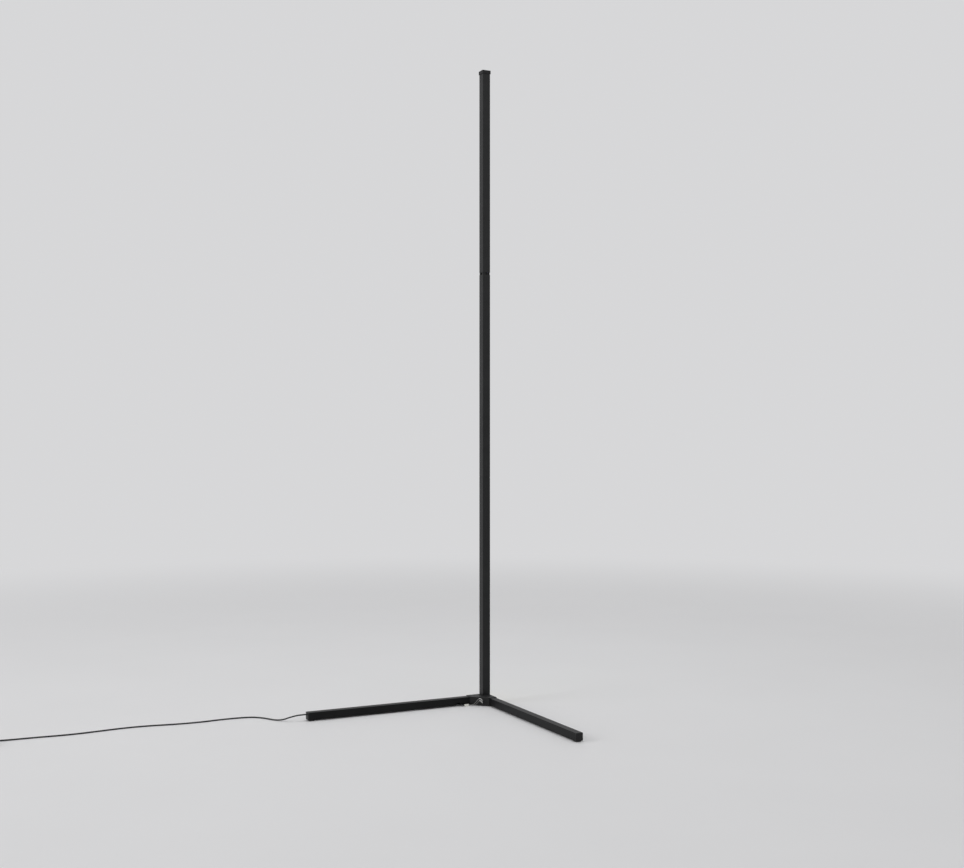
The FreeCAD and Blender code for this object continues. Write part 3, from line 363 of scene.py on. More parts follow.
def make_dust_group():
    """Dust that settles on faces that look up and close to the floor, as a mask."""
    group, start, end = new_group(
        "settled dust",
        [("Vector", "NodeSocketVector", None), ("Amount", "NodeSocketFloat", 0.3)],
        [("Dust", "NodeSocketFloat")],
    )
    geometry = group.nodes.new("ShaderNodeNewGeometry")
    normal = group.nodes.new("ShaderNodeSeparateXYZ")
    group.links.new(geometry.outputs["Normal"], normal.inputs["Vector"])
    up = spread_range(group, normal.outputs["Z"], 0.2, 0.95)
    specks = spread_range(group, noise(group, start.outputs["Vector"], 1300, 2), 0.52, 0.7)
    drift = spread_range(group, noise(group, start.outputs["Vector"], 30, 3), 0.35, 0.8, 0.25, 1)
    mask = math_node(group, "MULTIPLY", math_node(group, "MULTIPLY", specks, drift), up)
    amount = math_node(group, "MULTIPLY", mask, start.outputs["Amount"], clamp=True)
    group.links.new(amount, end.inputs["Dust"])
    return group


def make_wear_and_highlight_group():
    """Rounded edges, where a face leans away from all main directions: coating worn thin, and a
    painted highlight.
    """
    group, start, end = new_group(
        "edge wear and painted highlight",
        [("Vector", "NodeSocketVector", None), ("Amount", "NodeSocketFloat", 0.4)],
        [("Wear_and_highlight", "NodeSocketFloat")],
    )
    geometry = group.nodes.new("ShaderNodeNewGeometry")
    straight = None
    diagonal = math.sqrt(0.5)
    main_directions = [(1, 0, 0), (0, 1, 0), (0, 0, 1)]
    main_directions += [(diagonal, diagonal, 0), (diagonal, -diagonal, 0)]
    for direction in main_directions:
        along = group.nodes.new("ShaderNodeVectorMath")
        along.operation = "DOT_PRODUCT"
        along.inputs[1].default_value = direction
        group.links.new(geometry.outputs["Normal"], along.inputs[0])
        facing = math_node(group, "ABSOLUTE", along.outputs["Value"])
        straight = facing if straight is None else math_node(group, "MAXIMUM", straight, facing)
    lean = spread_range(group, straight, 0.995, 0.96)
    patches = spread_range(group, noise(group, start.outputs["Vector"], 120, 4, 0.65), 0.42, 0.68)
    mask = math_node(group, "MULTIPLY", lean, patches)
    amount = math_node(group, "MULTIPLY", mask, start.outputs["Amount"], clamp=True)
    group.links.new(amount, end.inputs["Wear_and_highlight"])
    return group


GRAIN = make_grain_group()
HANDLING = make_handling_group()
DUST = make_dust_group()
WEAR_AND_HIGHLIGHT = make_wear_and_highlight_group()
DUST_COLOUR = (0.42, 0.41, 0.39, 1)
DUST_ROUGHNESS = 0.5
SMUDGE_ROUGHNESS = 0.06
SCRATCH_STRENGTH = 0.35
# How much rounded edges are lightened, as wear and as a painted highlight.
EDGE_WEAR_AND_HIGHLIGHT = 0.35


def place_group(tree, group, vector, **values):
    node = tree.nodes.new("ShaderNodeGroup")
    node.node_tree = group
    tree.links.new(vector, node.inputs["Vector"])
    for name, value in values.items():
        node.inputs[name].default_value = value
    return node


def mixed(tree, factor, a, b):
    """Two colours mixed by a mask. Each is a colour or a node's output."""
    node = tree.nodes.new("ShaderNodeMix")
    node.data_type = "RGBA"
    tree.links.new(factor, node.inputs["Factor"])
    for socket, value in ((node.inputs[6], a), (node.inputs[7], b)):
        if isinstance(value, tuple):
            socket.default_value = value
        else:
            tree.links.new(value, socket)
    return node.outputs[2]


def bumped(tree, shader, height, distance):
    bump = tree.nodes.new("ShaderNodeBump")
    bump.inputs["Distance"].default_value = distance
    bump.inputs["Strength"].default_value = 1
    tree.links.new(height, bump.inputs["Height"])
    tree.links.new(bump.outputs["Normal"], shader.inputs["Normal"])


def new_material(name):
    material = bpy.data.materials.new(name)
    material.use_nodes = True
    tree = material.node_tree
    shader = tree.nodes["Principled BSDF"]
    place = tree.nodes.new("ShaderNodeTexCoord").outputs["Object"]
    return material, tree, shader, place


def brightened(colour, gain, offset):
    return tuple(min(1, gain * c + offset) for c in colour[:3]) + (1,)


def finished(name, colour, light_colour, roughness, grain_scale, grain_depth,
             metallic=0.0, dust=0.25, lines=None, shine=0.5):
    """A coated, moulded or soft surface with grain, handling marks and a little dust."""
    material, tree, shader, place = new_material(name)
    grain = place_group(tree, GRAIN, place, Scale=grain_scale)
    marks = place_group(tree, HANDLING, place)
    dusty = place_group(tree, DUST, place, Amount=dust)
    tone = spread_range(tree, noise(tree, place, 55, 4), 0.3, 0.75)
    base = mixed(tree, tone, colour, light_colour)
    scratch = math_node(tree, "MULTIPLY", marks.outputs["Scratch"], SCRATCH_STRENGTH)
    scuffed = mixed(tree, scratch, base, brightened(light_colour, 2.2, 0.02))
    # Rounded edges are made lighter: partly worn coating, partly a painted highlight where they
    # catch light.
    edges = place_group(tree, WEAR_AND_HIGHLIGHT, place, Amount=EDGE_WEAR_AND_HIGHLIGHT)
    worn_and_highlighted = mixed(tree, edges.outputs["Wear_and_highlight"], scuffed, brightened(light_colour, 2.6, 0.01))
    coloured = mixed(tree, dusty.outputs["Dust"], worn_and_highlighted, DUST_COLOUR)
    tree.links.new(coloured, shader.inputs["Base Color"])
    rough = math_node(tree, "MULTIPLY_ADD", marks.outputs["Smudge"], SMUDGE_ROUGHNESS)
    rough.node.inputs[2].default_value = roughness
    dull = math_node(tree, "MULTIPLY", dusty.outputs["Dust"], DUST_ROUGHNESS)
    tree.links.new(math_node(tree, "ADD", rough, dull), shader.inputs["Roughness"])
    shader.inputs["Metallic"].default_value = metallic
    shader.inputs["Specular IOR Level"].default_value = shine
    height = grain.outputs["Height"]
    if lines:
        along = noise(tree, stretched(tree, place, lines), 1, 2)
        height = math_node(tree, "ADD", height, math_node(tree, "MULTIPLY", along, 0.8))
    bumped(tree, shader, height, grain_depth)
    return material


COATED = (0.008, 0.0084, 0.0088, 1)
COATED_LIGHT = (0.013, 0.0134, 0.0138, 1)
LEG_COATED = (0.0045, 0.0047, 0.0049, 1)
LEG_COATED_LIGHT = (0.008, 0.0083, 0.0086, 1)
BLACK_POLE = finished(
    "black coated profile", COATED, COATED_LIGHT,
    roughness=0.4, grain_scale=1400, grain_depth=0.00004,
    lines=(2600, 2600, 14), dust=0.12, shine=0.25,
)
BLACK_LEFT_LEG = finished(
    "black coated left leg", LEG_COATED, LEG_COATED_LIGHT,
    roughness=0.42, grain_scale=1400, grain_depth=0.00004,
    lines=(14, 2600, 2600), dust=0.12, shine=0.14,
)
BLACK_RIGHT_LEG = finished(
    "black coated right leg", LEG_COATED, LEG_COATED_LIGHT,
    roughness=0.42, grain_scale=1400, grain_depth=0.00004,
    lines=(2600, 14, 2600), dust=0.12, shine=0.14,
)
MOULDED_BLACK = finished(
    "moulded black", (0.007, 0.007, 0.0074, 1), (0.012, 0.012, 0.0124, 1),
    roughness=0.5, grain_scale=2200, grain_depth=0.00005, dust=0.12, shine=0.25,
)
RUBBER = finished(
    "foot rubber", (0.014, 0.014, 0.014, 1), (0.03, 0.03, 0.03, 1),
    roughness=0.78, grain_scale=1500, grain_depth=0.00006,
)
CORD_SHEATH = finished(
    "cord sheath", (0.010, 0.010, 0.0105, 1), (0.017, 0.017, 0.0175, 1),
    roughness=0.42, grain_scale=2600, grain_depth=0.00003, dust=0.15, shine=0.35,
)
LEAD_SHEATH = finished(
    "grey lead", (0.28, 0.28, 0.27, 1), (0.36, 0.36, 0.35, 1),
    roughness=0.4, grain_scale=2600, grain_depth=0.00002, dust=0.1,
)
GOLD_CONTACT = finished(
    "gold plated contact", (0.75, 0.5, 0.2, 1), (0.85, 0.6, 0.28, 1),
    roughness=0.25, grain_scale=2600, grain_depth=0.00001, metallic=1.0, dust=0.02,
)
PLUG_BLACK = finished(
    "moulded plug", (0.016, 0.016, 0.017, 1), (0.028, 0.028, 0.029, 1),
    roughness=0.46, grain_scale=2600, grain_depth=0.00005,
)
TIE_RUBBER = finished(
    "tie rubber", (0.02, 0.02, 0.02, 1), (0.035, 0.035, 0.035, 1),
    roughness=0.6, grain_scale=2600, grain_depth=0.00004,
)
WHITE_NYLON = finished(
    "white nylon", (0.80, 0.79, 0.74, 1), (0.86, 0.85, 0.80, 1),
    roughness=0.38, grain_scale=1800, grain_depth=0.00002, dust=0.1,
)
OXIDE_STEEL = finished(
    "black oxide steel", (0.05, 0.05, 0.055, 1), (0.09, 0.09, 0.095, 1),
    roughness=0.35, grain_scale=3000, grain_depth=0.00002, metallic=1.0,
)
BRIGHT_STEEL = finished(
    "bright plated steel", (0.55, 0.55, 0.56, 1), (0.68, 0.68, 0.69, 1),
    roughness=0.22, grain_scale=2600, grain_depth=0.00001, metallic=1.0, dust=0.05,
)
PLATE_BLACK = finished(
    "black coated plate", (0.02, 0.02, 0.021, 1), (0.035, 0.035, 0.036, 1),
    roughness=0.45, grain_scale=1600, grain_depth=0.00004,
)
FOAM_TAPE = finished(
    "foam tape", (0.6, 0.6, 0.57, 1), (0.75, 0.75, 0.72, 1),
    roughness=0.85, grain_scale=1500, grain_depth=0.00008,
)
GREEN_BOARD = finished(
    "board mask", (0.01, 0.08, 0.035, 1), (0.015, 0.12, 0.05, 1),
    roughness=0.35, grain_scale=1200, grain_depth=0.00002,
)
CHIP_BLACK = finished(
    "chip epoxy", (0.02, 0.02, 0.021, 1), (0.03, 0.03, 0.03, 1),
    roughness=0.5, grain_scale=2400, grain_depth=0.00002,
)
WHITE_TAPE = finished(
    "white strip mask", (0.7, 0.7, 0.68, 1), (0.8, 0.8, 0.78, 1),
    roughness=0.4, grain_scale=1500, grain_depth=0.00002,
)
LED_LENS = finished(
    "led lens", (0.75, 0.7, 0.4, 1), (0.85, 0.8, 0.5, 1),
    roughness=0.2, grain_scale=1200, grain_depth=0.00001,
)


def make_wire_with_painted_highlight():
    """Grey wires, pale from where they come out of the bracket over the top of their arch: a
    painted highlight.
    """
    material, tree, shader, place = new_material("grey wire with painted highlight")
    parts = tree.nodes.new("ShaderNodeSeparateXYZ")
    tree.links.new(place, parts.inputs["Vector"])
    # How far the point stands to the left of the bracket's middle, along its face.
    aside = math_node(tree, "SUBTRACT", parts.outputs["Y"], parts.outputs["X"])
    highlight_end = -0.0030
    soft_edge = 0.0006
    # Pale up to the arch's top and grey down its far side: a painted highlight on the lit part of
    # the wires.
    painted_highlight = spread_range(tree, aside, highlight_end + soft_edge, highlight_end - soft_edge)
    tone = noise(tree, place, 180, 3)
    grey = mixed(tree, tone, (0.13, 0.13, 0.125, 1), (0.20, 0.20, 0.19, 1))
    pale = mixed(tree, tone, (0.80, 0.80, 0.78, 1), (0.88, 0.88, 0.86, 1))
    tree.links.new(mixed(tree, painted_highlight, grey, pale), shader.inputs["Base Color"])
    shader.inputs["Roughness"].default_value = 0.32
    bumped(tree, shader, place_group(tree, GRAIN, place, Scale=2600).outputs["Height"], 0.00001)
    return material


WIRE_WITH_PAINTED_HIGHLIGHT = make_wire_with_painted_highlight()


def make_glow():
    """The milky diffuser, lit from inside: the colour changes along the pole's height."""
    material, tree, shader, place = new_material("lit milky silicone")
    parts = tree.nodes.new("ShaderNodeSeparateXYZ")
    tree.links.new(place, parts.inputs["Vector"])
    ramp = tree.nodes.new("ShaderNodeValToRGB")
    lamp_height = 1.4
    tree.links.new(spread_range(tree, parts.outputs["Z"], 0, lamp_height), ramp.inputs["Fac"])
    stops = [
        (0.02, (0.90, 0.70, 0.06)),
        (0.14, (0.76, 0.80, 0.10)),
        (0.23, (0.20, 0.82, 0.30)),
        (0.34, (0.08, 0.88, 0.62)),
        (0.44, (0.16, 0.78, 0.95)),
        (0.54, (0.14, 0.46, 0.95)),
        (0.64, (0.24, 0.24, 0.95)),
        (0.74, (0.40, 0.12, 0.92)),
        (0.84, (0.66, 0.06, 0.88)),
        (0.96, (0.80, 0.04, 0.38)),
    ]
    elements = ramp.color_ramp.elements
    ramp.color_ramp.interpolation = "EASE"
    while len(elements) < len(stops):
        elements.new(0.5)
    for element, (position, colour) in zip(elements, stops):
        element.position = position
        element.color = (*colour, 1)
    # Each chip behind the milky wall shows as a faint brighter band.
    chip_pitch = 0.0167
    chip_angle = math_node(tree, "MULTIPLY", parts.outputs["Z"], 2 * math.pi / chip_pitch)
    wave = math_node(tree, "SINE", chip_angle)
    banded = tree.nodes.new("ShaderNodeVectorMath")
    banded.operation = "SCALE"
    tree.links.new(ramp.outputs["Color"], banded.inputs[0])
    tree.links.new(spread_range(tree, wave, -1, 1, 0.84, 1), banded.inputs["Scale"])
    tree.links.new(banded.outputs["Vector"], shader.inputs["Emission Color"])
    shader.inputs["Emission Strength"].default_value = 0.8
    milk = mixed(tree, noise(tree, place, 300, 2), (0.78, 0.78, 0.8, 1), (0.88, 0.88, 0.9, 1))
    # The milky base colour is tinted with the glow's colours: painted light from the chips, so the
    # diffuser keeps the glow's colour under the studio lamps.
    glow_tinted_milk = tree.nodes.new("ShaderNodeMix")
    glow_tinted_milk.data_type = "RGBA"
    glow_tinted_milk.blend_type = "MULTIPLY"
    glow_tinted_milk.inputs["Factor"].default_value = 0.85
    tree.links.new(milk, glow_tinted_milk.inputs[6])
    tree.links.new(ramp.outputs["Color"], glow_tinted_milk.inputs[7])
    tree.links.new(glow_tinted_milk.outputs[2], shader.inputs["Base Color"])
    shader.inputs["Roughness"].default_value = 0.45
    bumped(tree, shader, place_group(tree, GRAIN, place, Scale=900).outputs["Height"], 0.00003)
    return material


GLOW = make_glow()

NODE_MATERIALS = {
    BLACK_POLE: ["pole_lower", "pole_middle", "pole_upper"],
    BLACK_LEFT_LEG: ["left_leg"],
    BLACK_RIGHT_LEG: ["right_leg"],
    MOULDED_BLACK: ["joiner_lower", "joiner_upper", "top_cap", "corner_bracket",
                    "left_end_cap", "right_end_cap"],
    OXIDE_STEEL: ["pole_screws", "base_screws"],
    PLATE_BLACK: ["base_plate"],
    RUBBER: ["bracket_pad", "left_leg_foot", "right_leg_foot", "cord_grommet"],
    GLOW: ["diffuser"],
    WHITE_TAPE: ["led_strip"],
    LED_LENS: ["led_chips"],
    FOAM_TAPE: ["board_tape"],
    GREEN_BOARD: ["controller_board"],
    CHIP_BLACK: ["board_components"],
}
for material, names in NODE_MATERIALS.items():
    for name in names:
        mesh = nodes[name].data
        mesh.materials.clear()
        mesh.materials.append(material)

# --- cords --------------------------------------------------------------------------------------

power_route = [Vector((x + GROMMET_FACE, y, z)) for x, y, z in POWER_CORD_ROUTE]
heading = (power_route[-1] - power_route[-2]).normalized()
coil_points, coil_place = coil_route(power_route[-1], heading)
cord_points = in_metres(power_route + coil_points[1:])
power_cord = centreline(
    "power_cord_flex", cord_points, CORD_DIAMETER * MM, CORD_SHEATH, COIL_STEPS
)
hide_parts("power_cord", "cord_coil")

upper_points = in_metres(UPPER_WIRE_ROUTE)
upper_wire = centreline(
    "upper_wire_flex", upper_points, WIRE_DIAMETER * MM, WIRE_WITH_PAINTED_HIGHLIGHT, ROUTE_STEPS
)
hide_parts("upper_lead_wire")

lower_points = in_metres(LOWER_WIRE_ROUTE)
lower_wire = centreline(
    "lower_wire_flex", lower_points, WIRE_DIAMETER * MM, WIRE_WITH_PAINTED_HIGHLIGHT, ROUTE_STEPS
)
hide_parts("lower_lead_wire")

tail_points = in_metres(CONTROLLER_TAIL_ROUTE)
tail = centreline(
    "controller_tail_flex", tail_points, LEAD_DIAMETER * MM, CORD_SHEATH, ROUTE_STEPS
)
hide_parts("controller_tail")

pole_lead_points = in_metres(POLE_LEAD_INNER_ROUTE)
pole_lead = centreline(
    "pole_lead_flex", pole_lead_points, LEAD_DIAMETER * MM, LEAD_SHEATH, ROUTE_STEPS
)
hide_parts("pole_lead_inner")

cord_in_leg_points = in_metres(CORD_IN_LEG_ROUTE)
cord_in_leg = centreline(
    "cord_in_leg_flex", cord_in_leg_points, CORD_DIAMETER * MM, CORD_SHEATH, ROUTE_STEPS
)
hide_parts("cord_in_leg")

# --- pieces on the cords and screws -------------------------------------------------------------


def rounded(shape, edges, offset, segments):
    bmesh.ops.bevel(
        shape, geom=edges, offset=offset, segments=segments, affect="EDGES", profile=0.5,
        material=-1,
    )


def edges_along(faces, axis, least):
    """The edges of some faces that run further than a given length along one axis."""
    edges = {e for f in faces for e in f.edges}
    return [e for e in edges if abs(e.verts[0].co[axis] - e.verts[1].co[axis]) > least]


def block(shape, low, high, edge=0.0, segments=2):
    """A block between two corners, in millimetres, with rounded edges. Returns its faces."""
    made = bmesh.ops.create_cube(shape, size=1)["verts"]
    low = Vector(low)
    high = Vector(high)
    bmesh.ops.scale(shape, vec=high - low, verts=made)
    bmesh.ops.translate(shape, vec=(low + high) / 2, verts=made)
    faces = list({f for v in made for f in v.link_faces})
    if edge:
        known = set(shape.faces) - set(faces)
        rounded(shape, list({e for v in made for e in v.link_edges}), edge, segments)
        faces = [f for f in shape.faces if f not in known]
    return faces


def facing(faces, direction):
    """The largest flat face that looks one way."""
    direction = Vector(direction)
    kept = [f for f in faces if f.is_valid]
    for face in kept:
        face.normal_update()
    looking = [f for f in kept if f.normal.dot(direction) > 0.999]
    return max(looking, key=lambda f: f.calc_area())


def sunk(shape, face, border, depth, lean=0.1):
    """Press a panel into a flat face: a border stays, and the rest goes in by a depth."""
    if border:
        bmesh.ops.inset_region(shape, faces=[face], thickness=border, use_even_offset=True)
    bmesh.ops.inset_region(shape, faces=[face], thickness=lean, depth=-depth, use_even_offset=True)


def turned(shape, profile, segments, place):
    """A round body about its X axis, from pairs of a distance and a radius. Returns its points."""
    known = set(shape.verts)
    line = [shape.verts.new((x, 0, radius)) for x, radius in profile]
    edges = [shape.edges.new(pair) for pair in zip(line, line[1:])]
    bmesh.ops.spin(
        shape, geom=line + edges, cent=(0, 0, 0), axis=(1, 0, 0), angle=2 * math.pi,
        steps=segments, use_merge=True,
    )
    made = [v for v in shape.verts if v not in known]
    bmesh.ops.remove_doubles(shape, verts=made, dist=0.001)
    made = [v for v in shape.verts if v not in known]
    bmesh.ops.transform(shape, matrix=place, verts=made)
    return made


def finish_piece(name, shape, materials, place, node):
    """Turn a piece drawn in millimetres into an object that rides on the lamp."""
    bmesh.ops.recalc_face_normals(shape, faces=shape.faces)
    bmesh.ops.transform(shape, matrix=Matrix.Scale(MM, 4) @ place, verts=shape.verts)
    mesh = bpy.data.meshes.new(name)
    shape.to_mesh(mesh)
    shape.free()
    for face in mesh.polygons:
        face.use_smooth = True
    mesh.set_sharp_from_angle(angle=math.radians(35))
    for material in materials:
        mesh.materials.append(material)
    piece = bpy.data.objects.new(name, mesh)
    bpy.context.scene.collection.objects.link(piece)
    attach(piece, "root")
    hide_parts(node)
    return piece


def side_ribs(shape, first, step, low_y, high_y):
    """Fine upright ribs that give the fingers a hold on both sides of the connector."""
    half_width = 0.2
    half_depth = 0.12
    bottom = 0.9
    top = 3.3
    for i in range(3):
        x = first + step * i
        for y in (low_y, high_y):
            low = (x - half_width, y - half_depth, bottom)
            high = (x + half_width, y + half_depth, top)
            block(shape, low, high, edge=0.08, segments=1)


# How far the collar round a wire goes into its housing.
MOUTH_SEAT = Vector((0.3, 0, 0))


def cable_mouth(shape, place, radius, wall, length):
    """A short collar round a wire where it enters a housing. Length may point along -X."""
    outer = radius + wall
    profile = [(0, radius), (0, outer), (length, outer), (length, radius), (0, radius)]
    turned(shape, profile, segments=20, place=Matrix.Translation(place))


def make_plug_half():
    """The connector's half on the wires: a housing, a latch finger and the nose inside its mate."""
    _, low_y, low_z = CONNECTOR_LOW
    high_x, high_y, high_z = CONNECTOR_HIGH
    middle_y = (low_y + high_y) / 2
    shape = bmesh.new()
    housing_low = (CONNECTOR_SPLIT, low_y, low_z)
    housing = block(shape, housing_low, CONNECTOR_HIGH, edge=CONNECTOR_EDGE)
    sunk(shape, facing(housing, (1, 0, 0)), border=CONNECTOR_EDGE, depth=0.25)
    nose_length = 2.8
    nose_root = 0.3
    nose_inset = 0.8
    nose_low = (CONNECTOR_SPLIT - nose_length, low_y + nose_inset, low_z + nose_inset)
    nose_high = (CONNECTOR_SPLIT + nose_root, high_y - nose_inset, high_z - nose_inset)
    block(shape, nose_low, nose_high, edge=0.15, segments=1)
    finger_half = 0.8
    finger_low = (CONNECTOR_SPLIT + 0.5, middle_y - finger_half, high_z - 0.2)
    finger_high = (high_x - 1.4, middle_y + finger_half, LATCH_TOP)
    finger = block(shape, finger_low, finger_high, edge=0.12, segments=1)
    sunk(shape, facing(finger, (0, 0, 1)), border=0.25, depth=0.12, lean=0.05)
    side_ribs(shape, high_x - 1.0, -RIB_PITCH, low_y, high_y)
    for route in (UPPER_WIRE_ROUTE, LOWER_WIRE_ROUTE):
        mouth = Vector(route[-1]) - MOUTH_SEAT
        cable_mouth(shape, mouth, WIRE_DIAMETER / 2, wall=0.2, length=0.5)
    return finish_piece(
        "wire_plug", shape, [WHITE_NYLON], Matrix.Identity(4), "lead_plug"
    )


def make_socket_half():
    """The connector's half on the controller's tail, with a rim round its mouth."""
    low_x, low_y, low_z = CONNECTOR_LOW
    _, high_y, high_z = CONNECTOR_HIGH
    mating_gap = 0.05
    front = CONNECTOR_SPLIT - mating_gap
    shape = bmesh.new()
    housing = block(shape, CONNECTOR_LOW, (front, high_y, high_z), edge=CONNECTOR_EDGE)
    sunk(shape, facing(housing, (0, 0, 1)), border=0.7, depth=0.25)
    sunk(shape, facing(housing, (-1, 0, 0)), border=CONNECTOR_EDGE, depth=0.2)
    side_ribs(shape, low_x + 1.2, RIB_PITCH, low_y, high_y)
    rim = 0.12
    rim_low = (CONNECTOR_SPLIT - 0.9, low_y - rim, low_z)
    block(shape, rim_low, (front, high_y + rim, high_z + rim), edge=0.1, segments=1)
    mouth = Vector(CONTROLLER_TAIL_ROUTE[-1]) + MOUTH_SEAT
    cable_mouth(shape, mouth, LEAD_DIAMETER / 2, wall=0.35, length=-0.7)
    return finish_piece(
        "tail_socket", shape, [WHITE_NYLON], Matrix.Identity(4), "lead_socket"
    )


def make_tie(place):
    """A ridged rubber band round one side of the coil, with the block that closes it."""
    half = TIE_WIDTH / 2
    below = CORD_DIAMETER / 2 + 1
    top = TIE_HEIGHT - below
    shape = bmesh.new()
    band = block(shape, (TIE_NEAR - TIE_WALL, -half, -below), (TIE_FAR + TIE_WALL, half, top))
    rounded(shape, edges_along(band, 1, TIE_WIDTH - 0.01), offset=1.5, segments=4)
    shape.normal_update()
    open_ends = [f for f in shape.faces if abs(f.normal.y) > 0.99]
    bmesh.ops.delete(shape, geom=open_ends, context="FACES")
    bmesh.ops.solidify(shape, geom=shape.faces[:], thickness=TIE_WALL)
    ridges = 8
    first_ridge = 2.4
    ridge_pitch = 1.5
    ridge_width = 0.6
    ridge_root = 0.1
    ridge_height = 0.25
    for i in range(ridges):
        x = TIE_NEAR + first_ridge + ridge_pitch * i
        low = (x, -half, top - ridge_root)
        high = (x + ridge_width, half, top + ridge_height)
        block(shape, low, high, edge=0.1, segments=1)
    clasp_low = (TIE_FAR - 4, -half - 0.5, top - 0.3)
    clasp_high = (TIE_FAR - 0.6, half + 0.5, top + 0.9)
    clasp = block(shape, clasp_low, clasp_high, edge=0.4)
    sunk(shape, facing(clasp, (0, 0, 1)), border=0.6, depth=0.3)
    return finish_piece(
        "cord_tie", shape, [TIE_RUBBER], place @ Matrix.Rotation(math.radians(TIE_TURN), 4, "Z"),
        "coil_tie",
    )


def make_plug_grip(place):
    """The moulded grip with thumb panels, and its ringed strain relief."""
    half = GRIP_WIDTH / 2
    shape = bmesh.new()
    grip_low = (RELIEF_LENGTH, -half, 0)
    grip_high = (RELIEF_LENGTH + GRIP_LENGTH, half, GRIP_HEIGHT)
    grip = block(shape, grip_low, grip_high, edge=1.6, segments=4)
    panel_depth = 0.35
    for direction in ((0, 0, 1), (0, 0, -1)):
        sunk(shape, facing(grip, direction), border=1.8, depth=panel_depth, lean=0.3)
    ribs = 6
    first_rib = 7
    rib_pitch = 1.9
    rib_width = 0.8
    rib_half = half - 3
    rib_height = panel_depth + 0.1
    for i in range(ribs):
        x = RELIEF_LENGTH + first_rib + rib_pitch * i
        for low, high in ((0, rib_height), (GRIP_HEIGHT - rib_height, GRIP_HEIGHT)):
            rib_low = (x, -rib_half, low)
            block(shape, rib_low, (x + rib_width, rib_half, high), edge=0.12, segments=1)
    sunk(shape, facing(grip, (1, 0, 0)), border=0.5, depth=0.2)
    cord_radius = CORD_DIAMETER / 2
    thin_end = cord_radius + 0.3
    rings = 5
    ring_pitch = (RELIEF_LENGTH - 1) / rings
    groove = 0.35
    profile = [(0, cord_radius), (0, thin_end)]
    for i in range(rings):
        x = 0.3 + i * ring_pitch
        radius = thin_end + (RELIEF_RADIUS - thin_end) * (i + 1) / rings
        profile += [(x, radius), (x + 0.6 * ring_pitch, radius)]
        profile += [(x + 0.65 * ring_pitch, radius - groove)]
        profile += [(x + 0.95 * ring_pitch, radius - groove)]
    relief_end = RELIEF_LENGTH + 1.6
    profile += [(relief_end, RELIEF_RADIUS), (relief_end, cord_radius), (0, cord_radius)]
    turned(shape, profile, segments=32, place=Matrix.Translation((0, 0, GRIP_HEIGHT / 2)))
    return finish_piece("plug_grip", shape, [PLUG_BLACK], place, "power_plug")


def make_plug_shell(place):
    """The plug's folded metal shell with its latch windows, and the tongue with four contacts."""
    start = RELIEF_LENGTH + GRIP_LENGTH - SHELL_SEAT
    end = start + SHELL_LENGTH - SHELL_SEAT
    half = SHELL_WIDTH / 2
    low = (GRIP_HEIGHT - SHELL_HEIGHT) / 2
    high = low + SHELL_HEIGHT
    shape = bmesh.new()
    shell = block(shape, (start, -half, low), (end, half, high))
    rounded(shape, edges_along(shell, 0, 1), offset=0.5, segments=3)
    mouth = facing(shape.faces[:], (1, 0, 0))
    sunk(shape, mouth, border=SHELL_WALL, depth=SHELL_LENGTH - SHELL_SEAT - 1, lean=0.001)

    def on_flat(face):
        height = face.calc_center_median().z
        return min(abs(height - low), abs(height - high)) < 0.01

    window_x = (end - 6.4, end - 4.2)
    window_y = (1.8, 4.1)

    def in_window(place):
        return window_x[0] < place.x < window_x[1] and window_y[0] < abs(place.y) < window_y[1]

    cuts = [((x, 0, 0), (1, 0, 0)) for x in window_x]
    cuts += [((0, y * side, 0), (0, 1, 0)) for y in window_y for side in (-1, 1)]
    for point, normal in cuts:
        flat = [f for f in shape.faces if on_flat(f)]
        geometry = list({part for f in flat for part in (f, *f.edges, *f.verts)})
        bmesh.ops.bisect_plane(shape, geom=geometry, plane_co=point, plane_no=normal)
    shape.normal_update()
    windows = [f for f in shape.faces if on_flat(f) and in_window(f.calc_center_median())]
    for face in windows:
        face.material_index = 1
        sunk(shape, face, border=0, depth=0.3, lean=0.01)
    tongue_top = low + SHELL_HEIGHT / 2
    tongue_half = half - 0.7
    tongue_low = (start, -tongue_half, low + SHELL_WALL)
    tongue = block(shape, tongue_low, (end - 2, tongue_half, tongue_top), edge=0.15, segments=1)
    for face in tongue:
        face.material_index = 1
    contacts = 4
    contact_pitch = 2.2
    contact_half = 0.6
    for i in range(contacts):
        y = contact_pitch * (i - (contacts - 1) / 2)
        contact_low = (end - 11, y - contact_half, tongue_top - 0.05)
        for face in block(shape, contact_low, (end - 2.6, y + contact_half, tongue_top + 0.08)):
            face.material_index = 2
    return finish_piece(
        "plug_shell", shape, [BRIGHT_STEEL, CHIP_BLACK, GOLD_CONTACT], place,
        "power_plug_shell",
    )


